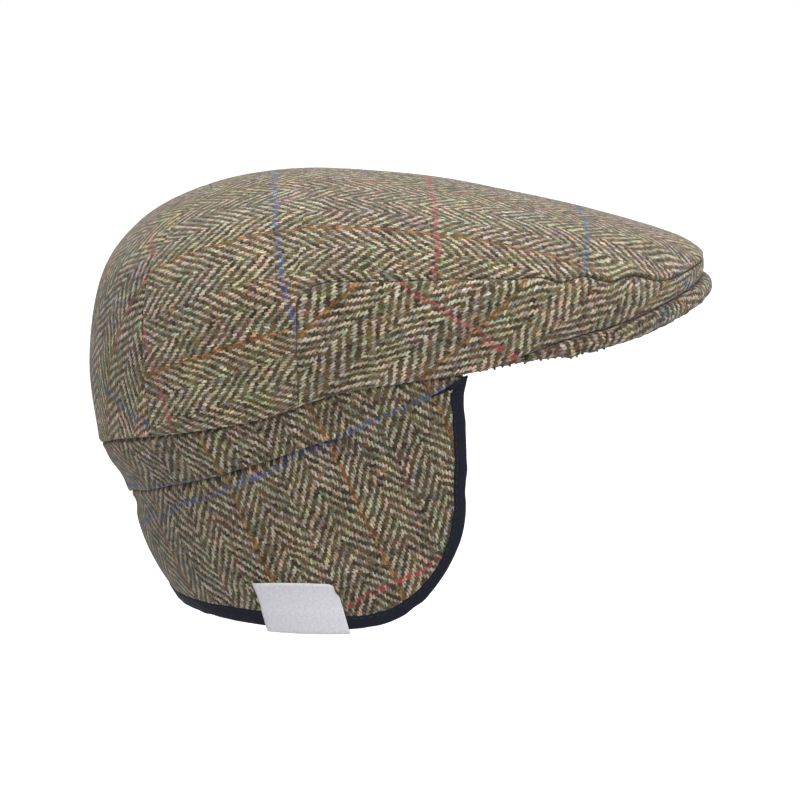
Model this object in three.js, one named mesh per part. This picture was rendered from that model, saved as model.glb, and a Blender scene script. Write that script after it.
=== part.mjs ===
import * as THREE from 'three';

// A flat cap with earflaps, in the attitude in which it is worn.
// Millimetres. +X points forward to the peak, +Y to the wearer's left, +Z up.
// The origin is the middle of the head opening, at the height of the rim beside the ears.

// Driving dimensions
const seamGap = 0.3;
const crownCloth = 2;
const flapCloth = 3;
const bindingCloth = 0.8;
const bindingWidth = 5.2;
const bindingEase = 0.8;
const bindingCornerShare = 0.45;
const labelCloth = 0.6;
const crownAxisX = -10;
const crownHeight = 87;

// Plan outline of the crown at each level, measured from its axis. Rise runs from 0 at the
// lower edge to 1 at the top, and power is the fullness of the outline: 2 is an ellipse.
const crownLevels = [
  { level: 'edge', rise: 0.00, back: 99.3, front: 169.0, halfWidth: 84.0, power: 2.30 },
  { level: 'belly', rise: 0.15, back: 103.8, front: 169.8, halfWidth: 88.0, power: 2.30 },
  { level: 'seam', rise: 0.30, back: 98.5, front: 169.2, halfWidth: 86.5, power: 2.30 },
  { level: 'shoulder', rise: 0.47, back: 82.0, front: 158.0, halfWidth: 72.0, power: 2.25 },
  { level: 'brow', rise: 0.72, back: 46.0, front: 88.0, halfWidth: 41.0, power: 2.10 },
];

// Height of each level round the cap. Angle 0 is the front, 90 the side, 180 the back.
const crownHeights = [
  { angle: 0, edge: 40.3, belly: 44.6, seam: 48.8, shoulder: 56.5, brow: 75.6 },
  { angle: 8, edge: 38.6, belly: 43.4, seam: 48.0, shoulder: 56.8, brow: 75.7 },
  { angle: 16, edge: 33.2, belly: 39.5, seam: 45.0, shoulder: 57.3, brow: 76.0 },
  { angle: 26, edge: 24.6, belly: 34.0, seam: 43.0, shoulder: 58.5, brow: 76.8 },
  { angle: 36, edge: 18.4, belly: 31.0, seam: 44.4, shoulder: 60.5, brow: 77.8 },
  { angle: 50, edge: 7.4, belly: 27.0, seam: 45.6, shoulder: 63.0, brow: 79.3 },
  { angle: 70, edge: 2.0, belly: 24.5, seam: 45.8, shoulder: 65.0, brow: 80.6 },
  { angle: 90, edge: -2.6, belly: 21.5, seam: 45.6, shoulder: 65.8, brow: 81.2 },
  { angle: 110, edge: -12.6, belly: 17.0, seam: 44.8, shoulder: 65.6, brow: 81.2 },
  { angle: 130, edge: -19.4, belly: 12.5, seam: 43.0, shoulder: 64.6, brow: 81.0 },
  { angle: 155, edge: -26.4, belly: 8.0, seam: 40.5, shoulder: 63.2, brow: 80.8 },
  { angle: 180, edge: -33.0, belly: 5.0, seam: 39.0, shoulder: 62.5, brow: 80.6 },
];

// Seams of the crown, as angles and rises on its surface
const sideSeamAngle = 100.5;
const sideSeamCornerStart = 90;
const sideSeamCornerRise = 0.235;
const archHalfAngle = 37.5;
const archRise = 0.7;
const archPower = 3;

// Peak: how far its edge stands out from the crown's edge, its thickness there, and how far
// its top lies under the crown's edge. Past 44 degrees it tapers away inside the crown.
const peakSections = [
  { angle: 0, standOut: 4.2, thickness: 6.6, under: 0.5 },
  { angle: 12, standOut: 4.0, thickness: 6.0, under: 0.5 },
  { angle: 30, standOut: 3.2, thickness: 6.0, under: 0.5 },
  { angle: 36, standOut: 2.6, thickness: 5.6, under: 0.5 },
  { angle: 41, standOut: 0.6, thickness: 3.4, under: 0.5 },
  { angle: 45, standOut: -3.4, thickness: 2.2, under: 0.5 },
  { angle: 49, standOut: -4.4, thickness: 2.2, under: -0.6 },
  { angle: 53, standOut: -8.0, thickness: 2.0, under: -0.8 },
];
const peakEndAngle = 53;
const peakInnerThickness = 3;
const foreheadReach = 113;
const foreheadHalfWidth = 80;
const foreheadHeight = 27;
const templeHeight = 5;

// Earflap: the share of its drop that each level has come down, and how far it lies inside the
// crown's edge, at the back of the head and beside the ears.
const flapLevels = [
  { level: 'tuck', backShare: -0.11, sideShare: -0.075, backInset: 3.4, sideInset: 3.2 },
  { level: 'rim', backShare: 0.0, sideShare: 0.0, backInset: 2.6, sideInset: 2.6 },
  { level: 'band', backShare: 0.07, sideShare: 0.05, backInset: 3.3, sideInset: 2.3 },
  { level: 'bulge', backShare: 0.2, sideShare: 0.12, backInset: 8.4, sideInset: 2.6 },
  { level: 'fold', backShare: 0.335, sideShare: 0.2, backInset: 13.4, sideInset: 3.6 },
  { level: 'crease', backShare: 0.37, sideShare: 0.225, backInset: 15.4, sideInset: 4.2 },
  { level: 'upper', backShare: 0.5, sideShare: 0.4, backInset: 16.8, sideInset: 4.0 },
  { level: 'middle', backShare: 0.64, sideShare: 0.58, backInset: 19.8, sideInset: 4.6 },
  { level: 'lower', backShare: 0.82, sideShare: 0.8, backInset: 25.8, sideInset: 6.2 },
  { level: 'bottom', backShare: 1.0, sideShare: 1.0, backInset: 33.5, sideInset: 9.0 },
];
const flapSideAngle = 88;
const flapBackAngle = 176;
const flapBottomBack = -102;
const flapBottomSide = -103;
const flapFrontX = 45.4;
const bindingTopPlace = 1.35;
const flapCornerStartX = 0;
const flapCornerHeight = 53;

// Label: its width along the hem, its height, how far it hangs below the hem, and its lean
const labelWidth = 33;
const labelHeight = 23.5;
const labelDrop = 3.4;
const labelLean = 0.3;
const labelStartX = -45;
const labelFoldShare = 0.2;

// How finely the cloth is divided
const frontColumns = 16;
const cornerColumns = 4;
const rearColumns = 7;
const archColumns = 6;
const topRows = 10;
const lowerRows = 6;
const flankRows = 4;
const archRows = 3;
const flapBackColumns = 14;
const flapCornerColumns = 10;
const peakColumns = 18;
const labelColumns = 6;

// Columns are spaced as a power of their number, closer together where the outline turns more
const frontCrowding = 1.25;
const archCrowding = 1.3;
const peakCrowding = 1.15;

const degree = Math.PI / 180;

// Value of a cubic curve through the knots, with the slope at each knot taken from its neighbours
function cubicValue(knots, values, startSlope, endSlope, at) {
  const last = knots.length - 1;
  let k = 0;
  while (k < last - 1 && at > knots[k + 1]) k += 1;
  const rate = (i) => (values[i + 1] - values[i]) / (knots[i + 1] - knots[i]);
  const slope = (i) => {
    if (i === 0) return startSlope ?? rate(0);
    if (i === last) return endSlope ?? rate(last - 1);
    const before = knots[i] - knots[i - 1];
    const after = knots[i + 1] - knots[i];
    return (rate(i - 1) * after + rate(i) * before) / (before + after);
  };
  const span = knots[k + 1] - knots[k];
  const t = (at - knots[k]) / span;
  const t2 = t * t;
  const t3 = t2 * t;
  return (2 * t3 - 3 * t2 + 1) * values[k] + (t3 - 2 * t2 + t) * span * slope(k)
    + (3 * t2 - 2 * t3) * values[k + 1] + (t3 - t2) * span * slope(k + 1);
}

// A column of a table that is symmetric about both its first and its last row
function tableValue(rows, column, angle) {
  const knots = rows.map((row) => row.angle);
  const values = rows.map((row) => row[column]);
  return cubicValue(knots, values, 0, 0, Math.min(angle, knots[knots.length - 1]));
}

function mix(a, b, share) {
  return a + (b - a) * share;
}

function smoothStep(low, high, value) {
  const t = Math.min(Math.max((value - low) / (high - low), 0), 1);
  return t * t * (3 - 2 * t);
}

// Distance from the axis to a rounded plan outline in one direction
function planReach(angle, back, front, halfWidth, power) {
  const along = Math.cos(angle * degree);
  const across = Math.abs(Math.sin(angle * degree));
  const length = along > 0 ? front : back;
  return ((Math.abs(along) / length) ** power + (across / halfWidth) ** power) ** (-1 / power);
}

// The same direction on one side of the cap, from 0 in front to 180 behind
function foldedAngle(angle) {
  return Math.min(Math.abs(angle), 360 - Math.abs(angle));
}

// Angles run both ways from the front, positive to the wearer's left
function placeAt(angle, reach, height) {
  const x = crownAxisX + reach * Math.cos(angle * degree);
  return new THREE.Vector3(x, reach * Math.sin(angle * degree), height);
}

function crownEdgeReach(angle) {
  const { back, front, halfWidth, power } = crownLevels[0];
  return planReach(angle, back, front, halfWidth, power);
}

function crownEdgeHeight(angle) {
  return tableValue(crownHeights, 'edge', foldedAngle(angle));
}

// A point on the outside of the crown
function crownPoint(angle, rise) {
  const knots = [...crownLevels.map((level) => level.rise), 1];
  const reaches = crownLevels.map((l) => planReach(angle, l.back, l.front, l.halfWidth, l.power));
  const heights = crownLevels.map((l) => tableValue(crownHeights, l.level, foldedAngle(angle)));
  const browReach = reaches[reaches.length - 1];
  const topSlope = -browReach / (1 - crownLevels[crownLevels.length - 1].rise);
  const reach = cubicValue(knots, [...reaches, 0], undefined, topSlope, rise);
  const height = cubicValue(knots, [...heights, crownHeight], undefined, 0, rise);
  return placeAt(angle, Math.max(reach, 0), height);
}

// The outward normal of a surface given by two parameters, which turn anticlockwise from outside
function surfaceNormal(pointAt, u, v, uStep, vStep) {
  const du = pointAt(u + uStep, v).sub(pointAt(u - uStep, v));
  const dv = pointAt(u, v + vStep).sub(pointAt(u, v - vStep));
  return du.cross(dv).normalize();
}

function crownNormal(angle, rise) {
  if (rise > 0.995) return new THREE.Vector3(0, 0, 1);
  return surfaceNormal(crownPoint, angle, Math.max(rise, 0.003), 0.5, 0.003);
}

// An open surface of welded points, each with its normal, and triangles that face outward
class Patch {
  constructor() {
    this.points = [];
    this.normals = [];
    this.triangles = [];
    this.places = new Map();
  }

  addPoint(position, normal) {
    const key = position.toArray().map((value) => Math.round(value * 1000)).join(' ');
    if (!this.places.has(key)) {
      this.places.set(key, this.points.length);
      this.points.push(position);
      this.normals.push(normal);
    }
    return this.places.get(key);
  }

  addTriangle(a, b, c) {
    if (a !== b && b !== c && c !== a) this.triangles.push([a, b, c]);
  }

  // pointAt(column, row) gives { position, normal }, with rows rising and columns turning left
  addGrid(columns, rows, pointAt) {
    const index = [];
    for (let i = 0; i <= columns; i += 1) {
      index.push([]);
      for (let j = 0; j <= rows; j += 1) {
        const { position, normal } = pointAt(i, j);
        index[i].push(this.addPoint(position, normal));
      }
    }
    for (let i = 0; i < columns; i += 1) {
      for (let j = 0; j < rows; j += 1) {
        this.addTriangle(index[i][j], index[i + 1][j], index[i + 1][j + 1]);
        this.addTriangle(index[i][j], index[i + 1][j + 1], index[i][j + 1]);
      }
    }
  }

  // Boundary edges, as a map from each point to the next one with the surface on the left
  boundary() {
    const edges = new Set();
    for (const [a, b, c] of this.triangles) {
      edges.add(`${a} ${b}`).add(`${b} ${c}`).add(`${c} ${a}`);
    }
    const next = new Map();
    for (const edge of edges) {
      const [a, b] = edge.split(' ').map(Number);
      if (!edges.has(`${b} ${a}`)) next.set(a, b);
    }
    return next;
  }

  // Draws the boundary in along the surface, so that neighbours keep their gap
  trim(distance) {
    const next = this.boundary();
    const previous = new Map([...next].map(([a, b]) => [b, a]));
    const moved = new Map();
    for (const [point, after] of next) {
      const here = this.points[point];
      const inward = (from, to) => this.normals[point].clone().cross(to.clone().sub(from)).normalize();
      const before = inward(this.points[previous.get(point)], here);
      const behind = inward(here, this.points[after]);
      const middle = before.clone().add(behind).normalize();
      const stretch = Math.max(middle.dot(before), 0.5);
      moved.set(point, here.clone().addScaledVector(middle, distance / stretch));
    }
    for (const [point, position] of moved) this.points[point] = position;
  }

  // The closed wall between this surface and its copy set in by the thickness
  wall(thickness) {
    const count = this.points.length;
    const inner = this.points.map((p, i) => p.clone().addScaledVector(this.normals[i], -thickness));
    const faces = [...this.triangles];
    for (const [a, b, c] of this.triangles) faces.push([a + count, c + count, b + count]);
    for (const [a, b] of this.boundary()) {
      faces.push([b, a, a + count], [b, a + count, b + count]);
    }
    return solidGeometry([...this.points, ...inner], faces);
  }
}

function solidGeometry(points, faces) {
  const geometry = new THREE.BufferGeometry();
  const positions = points.flatMap((point) => point.toArray());
  geometry.setAttribute('position', new THREE.Float32BufferAttribute(positions, 3));
  geometry.setIndex(faces.flat());
  geometry.computeVertexNormals();
  return geometry;
}

// A closed solid swept through sections of equal point counts, each section turning anticlockwise
// when it is seen from the end of the sweep
function sweptSolid(sections) {
  const size = sections[0].length;
  const points = sections.flat();
  const faces = [];
  for (let i = 0; i < sections.length - 1; i += 1) {
    for (let j = 0; j < size; j += 1) {
      const a = i * size + j;
      const b = i * size + ((j + 1) % size);
      faces.push([a, b, b + size], [a, b + size, a + size]);
    }
  }
  const outline = sectionOutline(sections[0]);
  const lastRow = (sections.length - 1) * size;
  for (const [a, b, c] of THREE.ShapeUtils.triangulateShape(outline, [])) {
    faces.push([a, c, b], [a + lastRow, b + lastRow, c + lastRow]);
  }
  return solidGeometry(points, faces);
}

// The first section in its own plane, for its end faces
function sectionOutline(section) {
  const normal = new THREE.Vector3();
  for (let i = 0; i < section.length; i += 1) {
    normal.add(section[i].clone().cross(section[(i + 1) % section.length]));
  }
  normal.normalize();
  const across = section[1].clone().sub(section[0]).normalize();
  const along = normal.clone().cross(across);
  return section.map((p) => new THREE.Vector2(p.dot(across), p.dot(along)));
}

// Height on the crown of the seam between the top and the side panels, with its rounded corner
function topSeamRise(angle) {
  const seamRise = crownLevels[2].rise;
  const turned = Math.abs(angle);
  if (turned <= sideSeamCornerStart) return seamRise;
  const t = Math.min((turned - sideSeamCornerStart) / (sideSeamAngle - sideSeamCornerStart), 1);
  return mix(sideSeamCornerRise, seamRise, Math.sqrt(1 - t * t));
}

// The back panel's arch is a rounded outline of angle and rise. Its flanks are followed by rise
// and its crown by angle.
function archAngleAt(rise) {
  return 180 - archHalfAngle * (1 - (rise / archRise) ** archPower) ** (1 / archPower);
}

function archRiseAt(angle) {
  const share = Math.min((180 - foldedAngle(angle)) / archHalfAngle, 1);
  return archRise * (1 - share ** archPower) ** (1 / archPower);
}

// Column angles from the front centre round the wearer's left side to the side seam, with the
// last few close together where the seam turns its corner
function frontAngles() {
  const even = Array.from({ length: frontColumns + 1 }, (_, i) => (
    sideSeamCornerStart * (i / frontColumns) ** frontCrowding));
  const corner = Array.from({ length: cornerColumns }, (_, i) => mix(
    sideSeamCornerStart, sideSeamAngle, Math.sin(((i + 1) / cornerColumns) * 90 * degree)));
  return [...even, ...corner];
}

// Rows of the crown behind the side seam, up to where the flanks of the arch end
function flankRises() {
  const beside = Array.from({ length: lowerRows + 1 }, (_, j) => sideSeamCornerRise * (j / lowerRows));
  const above = Array.from({ length: flankRows }, (_, j) => mix(sideSeamCornerRise, 1, (j + 1) / topRows));
  return [...beside, ...above];
}

// Column angles over the crown of the arch, up to the back centre
function archAngles() {
  const start = archAngleAt(flankRises()[lowerRows + flankRows]);
  return Array.from({ length: archColumns + 1 }, (_, i) => mix(start, 180, (i / archColumns) ** archCrowding));
}

// The same columns on both sides of the cap, from the wearer's right over to the left
function mirrored(angles) {
  return [...angles.slice(1).map((angle) => -angle).reverse(), ...angles];
}

function acrossBack(angles) {
  const left = angles.slice(0, -1);
  return [...left, 180, ...left.map((angle) => 360 - angle).reverse()];
}

// Adds the part of the crown whose angle and rise are given for each column and row
function crownGrid(patch, columnCount, rows, placeOf) {
  patch.addGrid(columnCount, rows, (i, j) => {
    const [angle, rise] = placeOf(i, j);
    return { position: crownPoint(angle, rise), normal: crownNormal(angle, rise) };
  });
}

function crownTopGeometry() {
  const patch = new Patch();
  const front = mirrored(frontAngles());
  crownGrid(patch, front.length - 1, topRows, (i, j) => (
    [front[i], mix(topSeamRise(front[i]), 1, j / topRows)]));
  const rises = flankRises();
  const beside = (i, rise) => mix(sideSeamAngle, archAngleAt(rise), i / rearColumns);
  crownGrid(patch, rearColumns, rises.length - 1, (i, j) => [beside(i, rises[j]), rises[j]]);
  crownGrid(patch, rearColumns, rises.length - 1, (i, j) => (
    [360 - beside(rearColumns - i, rises[j]), rises[j]]));
  const flankTop = rises[rises.length - 1];
  const rear = Array.from({ length: rearColumns }, (_, i) => beside(i, flankTop));
  const back = acrossBack([...rear, ...archAngles()]);
  const rowsAbove = topRows - flankRows;
  crownGrid(patch, back.length - 1, rowsAbove, (i, j) => {
    const beyondArch = foldedAngle(back[i]) < archAngleAt(flankTop);
    return [back[i], mix(beyondArch ? flankTop : archRiseAt(back[i]), 1, j / rowsAbove)];
  });
  patch.trim(seamGap / 2);
  return patch.wall(crownCloth);
}

function sidePanelGeometry(side) {
  const patch = new Patch();
  const angles = side > 0 ? frontAngles() : frontAngles().map((angle) => -angle).reverse();
  crownGrid(patch, angles.length - 1, lowerRows, (i, j) => (
    [angles[i], topSeamRise(angles[i]) * (j / lowerRows)]));
  patch.trim(seamGap / 2);
  return patch.wall(crownCloth);
}

function backPanelGeometry() {
  const patch = new Patch();
  const rises = flankRises();
  const flankTop = rises[rises.length - 1];
  const angles = acrossBack(archAngles());
  const share = (i) => (angles[i] - angles[0]) / (360 - 2 * angles[0]);
  crownGrid(patch, angles.length - 1, rises.length - 1, (i, j) => {
    const flank = archAngleAt(rises[j]);
    return [mix(flank, 360 - flank, share(i)), rises[j]];
  });
  crownGrid(patch, angles.length - 1, archRows, (i, j) => (
    [angles[i], mix(flankTop, archRiseAt(angles[i]), j / archRows)]));
  patch.trim(seamGap / 2);
  return patch.wall(crownCloth);
}

// One section of the peak, from the forehead out along the underside and back over the top
function peakSection(angle) {
  const turned = Math.abs(angle);
  const value = (column) => tableValue(peakSections, column, turned);
  const outerReach = crownEdgeReach(angle) + value('standOut');
  const innerReach = planReach(angle, 1, foreheadReach, foreheadHalfWidth, 2);
  const thickness = value('thickness');
  const top = crownEdgeHeight(angle) - value('under');
  const innerTop = mix(templeHeight, foreheadHeight, Math.cos((turned / peakEndAngle) * 90 * degree));
  const innerThickness = Math.min(thickness, peakInnerThickness);
  const round = thickness / 2;
  const points = [[innerReach, innerTop - innerThickness]];
  points.push([mix(innerReach, outerReach - round, 0.5), mix(innerTop, top, 0.5) - (innerThickness + thickness) / 2]);
  for (const turn of [-90, -45, 0, 45, 90]) {
    const out = outerReach - round + round * Math.cos(turn * degree);
    points.push([out, top - round + round * Math.sin(turn * degree)]);
  }
  points.push([mix(innerReach, outerReach - round, 0.5), mix(innerTop, top, 0.5)]);
  points.push([innerReach, innerTop]);
  return points.map(([reach, height]) => placeAt(angle, reach, height)).reverse();
}

function peakGeometry() {
  const angles = mirrored(Array.from({ length: peakColumns + 1 }, (_, i) => (
    peakEndAngle * (i / peakColumns) ** peakCrowding)));
  return sweptSolid(angles.map(peakSection));
}

// How much a direction belongs to the back of the head, from 0 beside the ears to 1 behind
function backness(angle) {
  return smoothStep(flapSideAngle, flapBackAngle, foldedAngle(angle));
}

function flapBottom(angle) {
  return mix(flapBottomSide, flapBottomBack, backness(angle));
}

// How far the flap lies inside the crown's edge once it has come down a share of its drop
function flapInset(angle, share) {
  const inset = (shares, insets) => cubicValue(
    flapLevels.map((level) => level[shares]), flapLevels.map((level) => level[insets]),
    undefined, undefined, share);
  return mix(inset('sideShare', 'sideInset'), inset('backShare', 'backInset'), backness(angle));
}

// A point on the outside of the earflap
function flapPoint(angle, height) {
  const rim = crownEdgeHeight(angle);
  const inset = flapInset(angle, (rim - height) / (rim - flapBottom(angle)));
  const { back, front, halfWidth, power } = crownLevels[0];
  const reach = planReach(angle, back - inset, front - inset, halfWidth - inset, power);
  return placeAt(angle, reach, height);
}

function flapNormal(angle, height) {
  return surfaceNormal(flapPoint, angle, height, 0.5, 0.5);
}

// Height at a place counted in levels from the tuck, for a flap that ends at the given bottom
function flapHeight(angle, place, bottom) {
  const level = Math.min(Math.floor(place), flapLevels.length - 2);
  const share = (key) => mix(flapLevels[level][key], flapLevels[level + 1][key], place - level);
  return mix(crownEdgeHeight(angle), bottom, mix(share('sideShare'), share('backShare'), backness(angle)));
}

// Columns of the flap from the left front edge round the back to the right one. Beyond the ear
// the hem climbs in a quarter of an ellipse to the front edge.
function flapColumns(hemMargin) {
  const reach = flapFrontX - hemMargin - flapCornerStartX;
  const rise = flapCornerHeight - hemMargin;
  const corner = Array.from({ length: flapCornerColumns + 1 }, (_, i) => {
    const turn = 90 * (1 - i / flapCornerColumns) * degree;
    return {
      x: flapCornerStartX + reach * Math.sin(turn),
      bottom: flapBottomSide + hemMargin + rise * (1 - Math.cos(turn)),
    };
  });
  const startAngle = flapAngleAt(flapCornerStartX, () => flapBottomSide);
  const half = Array.from({ length: flapBackColumns }, (_, i) => {
    const angle = mix(startAngle, 180, (i + 1) / flapBackColumns);
    return { angle, bottom: flapBottom(angle) + hemMargin };
  });
  const left = [...corner, ...half];
  const right = left.slice(0, -1).reverse().map((column) => ({ ...column, right: true }));
  return [...left, ...right];
}

// The angle at which the flap passes a given x on the wearer's left
function flapAngleAt(x, heightAt) {
  let low = 0;
  let high = 180;
  for (let step = 0; step < 30; step += 1) {
    const middle = (low + high) / 2;
    if (flapPoint(middle, heightAt(middle)).x > x) low = middle;
    else high = middle;
  }
  return low;
}

function flapColumnPoint(column, place) {
  const heightAt = (angle) => flapHeight(angle, place, column.bottom);
  const leftAngle = column.angle ?? flapAngleAt(column.x, heightAt);
  const angle = column.right ? 360 - leftAngle : leftAngle;
  return { position: flapPoint(angle, heightAt(angle)), normal: flapNormal(angle, heightAt(angle)) };
}

function earflapGeometry(columns) {
  const patch = new Patch();
  const rows = flapLevels.length - 1;
  patch.addGrid(columns.length - 1, rows, (i, j) => flapColumnPoint(columns[i], rows - j));
  return patch.wall(flapCloth);
}

// The free edge of the flap: down the left front edge, round the hem and up the right one
function flapEdge(columns) {
  const last = flapLevels.length - 1;
  const frontPlaces = [bindingTopPlace];
  for (let place = 2; place < last; place += 1) frontPlaces.push(place);
  const edge = frontPlaces.map((place) => ({ i: 0, place }));
  columns.forEach((_, i) => edge.push({ i, place: last }));
  frontPlaces.reverse().forEach((place) => edge.push({ i: columns.length - 1, place }));
  return edge.map(({ i, place }) => flapColumnPoint(columns[i], place));
}

// The frame at each point of the edge: along it, out of the cloth, and away from the flap
function edgeFrames(edge) {
  return edge.map(({ position, normal }, i) => {
    const before = edge[Math.max(i - 1, 0)].position;
    const after = edge[Math.min(i + 1, edge.length - 1)].position;
    const along = after.clone().sub(before).normalize();
    const away = along.clone().cross(normal).normalize();
    const out = away.clone().cross(along).normalize();
    return { position, along, out, away };
  });
}

// A channel of folded cloth round the flap's edge
function bindingSection({ position, out, away }) {
  const near = bindingEase;
  const far = bindingEase + bindingCloth;
  const edge = seamGap + bindingCloth;
  const leg = bindingWidth - edge;
  const corner = edge * bindingCornerShare;
  const outline = [
    [near, -leg], [far, -leg], [far, edge - corner], [far - corner, edge],
    [-flapCloth - far + corner, edge], [-flapCloth - far, edge - corner], [-flapCloth - far, -leg],
    [-flapCloth - near, -leg], [-flapCloth - near, seamGap], [near, seamGap],
  ];
  return outline.map(([across, beyond]) => (
    position.clone().addScaledVector(out, across).addScaledVector(away, beyond)));
}

function bindingGeometry(frames) {
  return sweptSolid(frames.map(bindingSection));
}

// The hem's frame at a distance along it from a starting x on the wearer's right
function hemFrameAt(frames, distance) {
  const start = frames.findIndex((f) => f.position.y < 0 && f.position.x > labelStartX && f.away.z < -0.5);
  let left = distance;
  let i = start;
  while (left > frames[i + 1].position.distanceTo(frames[i].position)) {
    left -= frames[i + 1].position.distanceTo(frames[i].position);
    i += 1;
  }
  const share = left / frames[i + 1].position.distanceTo(frames[i].position);
  const blend = (key) => frames[i][key].clone().lerp(frames[i + 1][key], share);
  return { position: blend('position'), out: blend('out').normalize(), away: blend('away').normalize() };
}

// The label is a strip folded over the hem, and its sides lean with the cloth
function labelGeometry(frames) {
  const clear = bindingEase + bindingCloth + seamGap * 2;
  const tail = labelHeight - labelDrop;
  const sections = Array.from({ length: labelColumns + 1 }, (_, i) => {
    const along = labelWidth * (i / labelColumns);
    const at = (across, beyond) => {
      const { position, out, away } = hemFrameAt(frames, along + (beyond + labelHeight) * labelLean);
      return position.clone().addScaledVector(out, across).addScaledVector(away, beyond);
    };
    const turn = labelDrop - labelCloth;
    const fold = turn - labelCloth * labelFoldShare;
    const outerFace = clear + labelCloth;
    return [
      at(clear, -tail), at(outerFace, -tail), at(outerFace, turn), at(clear, labelDrop),
      at(-flapCloth - clear, labelDrop), at(-flapCloth - outerFace, turn), at(-flapCloth - outerFace, -tail),
      at(-flapCloth - clear, -tail), at(-flapCloth - clear, fold), at(clear, fold),
    ];
  });
  return sweptSolid(sections);
}

const tweed = new THREE.MeshStandardMaterial({ color: 0x82785f, roughness: 0.95, metalness: 0 });
const darkTweed = new THREE.MeshStandardMaterial({ color: 0x746951, roughness: 0.95, metalness: 0 });
const blueTape = new THREE.MeshStandardMaterial({ color: 0x1c212d, roughness: 0.8, metalness: 0 });
const paleSatin = new THREE.MeshStandardMaterial({ color: 0xe4e4e2, roughness: 0.6, metalness: 0 });

const cap = new THREE.Group();

function addPiece(name, geometry, material) {
  const piece = new THREE.Mesh(geometry, material.clone());
  piece.name = name;
  cap.add(piece);
}

const hemMargin = seamGap + bindingCloth;
const columns = flapColumns(hemMargin);
const hemFrames = edgeFrames(flapEdge(columns));

addPiece('crown_top', crownTopGeometry(), tweed);
addPiece('side_panel_right', sidePanelGeometry(-1), tweed);
addPiece('side_panel_left', sidePanelGeometry(1), tweed);
addPiece('back_panel', backPanelGeometry(), tweed);
addPiece('peak', peakGeometry(), darkTweed);
addPiece('earflap', earflapGeometry(columns), darkTweed);
addPiece('flap_binding', bindingGeometry(hemFrames), blueTape);
addPiece('label', labelGeometry(hemFrames), paleSatin);

export default cap;
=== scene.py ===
import math
import bpy
import numpy as np
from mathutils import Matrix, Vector, noise
from mathutils.kdtree import KDTree


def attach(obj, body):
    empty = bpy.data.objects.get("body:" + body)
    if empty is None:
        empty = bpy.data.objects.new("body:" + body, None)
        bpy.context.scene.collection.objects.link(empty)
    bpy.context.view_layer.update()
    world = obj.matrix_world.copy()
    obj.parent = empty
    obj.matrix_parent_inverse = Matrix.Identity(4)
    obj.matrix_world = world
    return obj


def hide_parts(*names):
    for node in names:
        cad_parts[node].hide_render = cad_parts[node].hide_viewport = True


# A tweed flat cap whose one deep flap hangs from the rim, from ear to ear round the back.
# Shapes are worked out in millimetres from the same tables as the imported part, and become
# metres when a mesh is made. +X is forward, +Y the wearer's left, +Z up.

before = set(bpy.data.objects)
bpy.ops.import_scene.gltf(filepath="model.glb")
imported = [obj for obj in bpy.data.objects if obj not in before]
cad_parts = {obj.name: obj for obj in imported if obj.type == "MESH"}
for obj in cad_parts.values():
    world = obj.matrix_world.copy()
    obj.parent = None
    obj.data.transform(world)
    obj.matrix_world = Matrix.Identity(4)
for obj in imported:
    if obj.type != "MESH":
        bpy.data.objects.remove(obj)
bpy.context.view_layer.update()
mm = 0.001
print("frame loaded:", ", ".join(sorted(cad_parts)))

view = {
    "azimuth": 5.0,  # degrees towards the back from straight at the wearer's right
    "elevation": 8.0,
    "distance": 1.4,
    "pixelsPerMetre": 2250.0,  # at the origin's distance
    "imageSize": 800.0,
    "originAt": (345.0, 363.5),  # where the origin falls in the picture
    "sensor": 36.0, "clip": (0.05, 100.0),
}


def placed(name, data):
    # a new object in the scene
    made = bpy.data.objects.new(name, data)
    bpy.context.scene.collection.objects.link(made)
    return made


def addCamera(s):
    a, e = math.radians(s["azimuth"]), math.radians(s["elevation"])
    forward = Vector((math.sin(a) * math.cos(e), math.cos(a) * math.cos(e), -math.sin(e)))
    right = Vector((math.cos(a), -math.sin(a), 0))
    up = right.cross(forward)
    middle = s["imageSize"] / 2
    aside = (middle - s["originAt"][0]) / s["pixelsPerMetre"]
    above = (middle - s["originAt"][1]) / s["pixelsPerMetre"]
    data = bpy.data.cameras.new("camera")
    camera = placed("camera", data)
    camera.location = right * aside - up * above - forward * s["distance"]
    camera.rotation_mode = "QUATERNION"
    camera.rotation_quaternion = forward.to_track_quat("-Z", "Y")
    data.sensor_width = s["sensor"]
    data.lens = s["distance"] * s["pixelsPerMetre"] * s["sensor"] / s["imageSize"]
    data.clip_start, data.clip_end = s["clip"]
    bpy.context.scene.camera = camera


addCamera(view)


# Values along tables

def cubicAlong(knots, values, at, startSlope=None, endSlope=None):
    knots, values = np.asarray(knots, float), np.asarray(values, float)
    if values.ndim == 1:
        values = np.repeat(values[:, None], len(at), axis=1)
    width = np.diff(knots)[:, None]
    rate = np.diff(values, axis=0) / width
    slope = np.empty_like(values)
    slope[1:-1] = (rate[:-1] * width[1:] + rate[1:] * width[:-1]) / (width[:-1] + width[1:])
    slope[0] = rate[0] if startSlope is None else startSlope
    slope[-1] = rate[-1] if endSlope is None else endSlope
    k = np.clip(np.searchsorted(knots, at, side="right") - 1, 0, len(knots) - 2)
    n = np.arange(len(at))
    span = width[k, 0]
    t = (at - knots[k]) / span
    return ((2 * t**3 - 3 * t**2 + 1) * values[k, n] + (t**3 - 2 * t**2 + t) * span * slope[k, n]
            + (3 * t**2 - 2 * t**3) * values[k + 1, n] + (t**3 - t**2) * span * slope[k + 1, n])


def mix(a, b, share):
    return a + (b - a) * share


def smooth(low, high, value):
    t = np.clip((value - low) / (high - low), 0, 1)
    return t * t * (3 - 2 * t)


def bump(x, reach, place=0.0):
    # a soft hump, 1 at its place and fading out over its reach
    return np.exp(-((x - place) / reach) ** 2)


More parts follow.
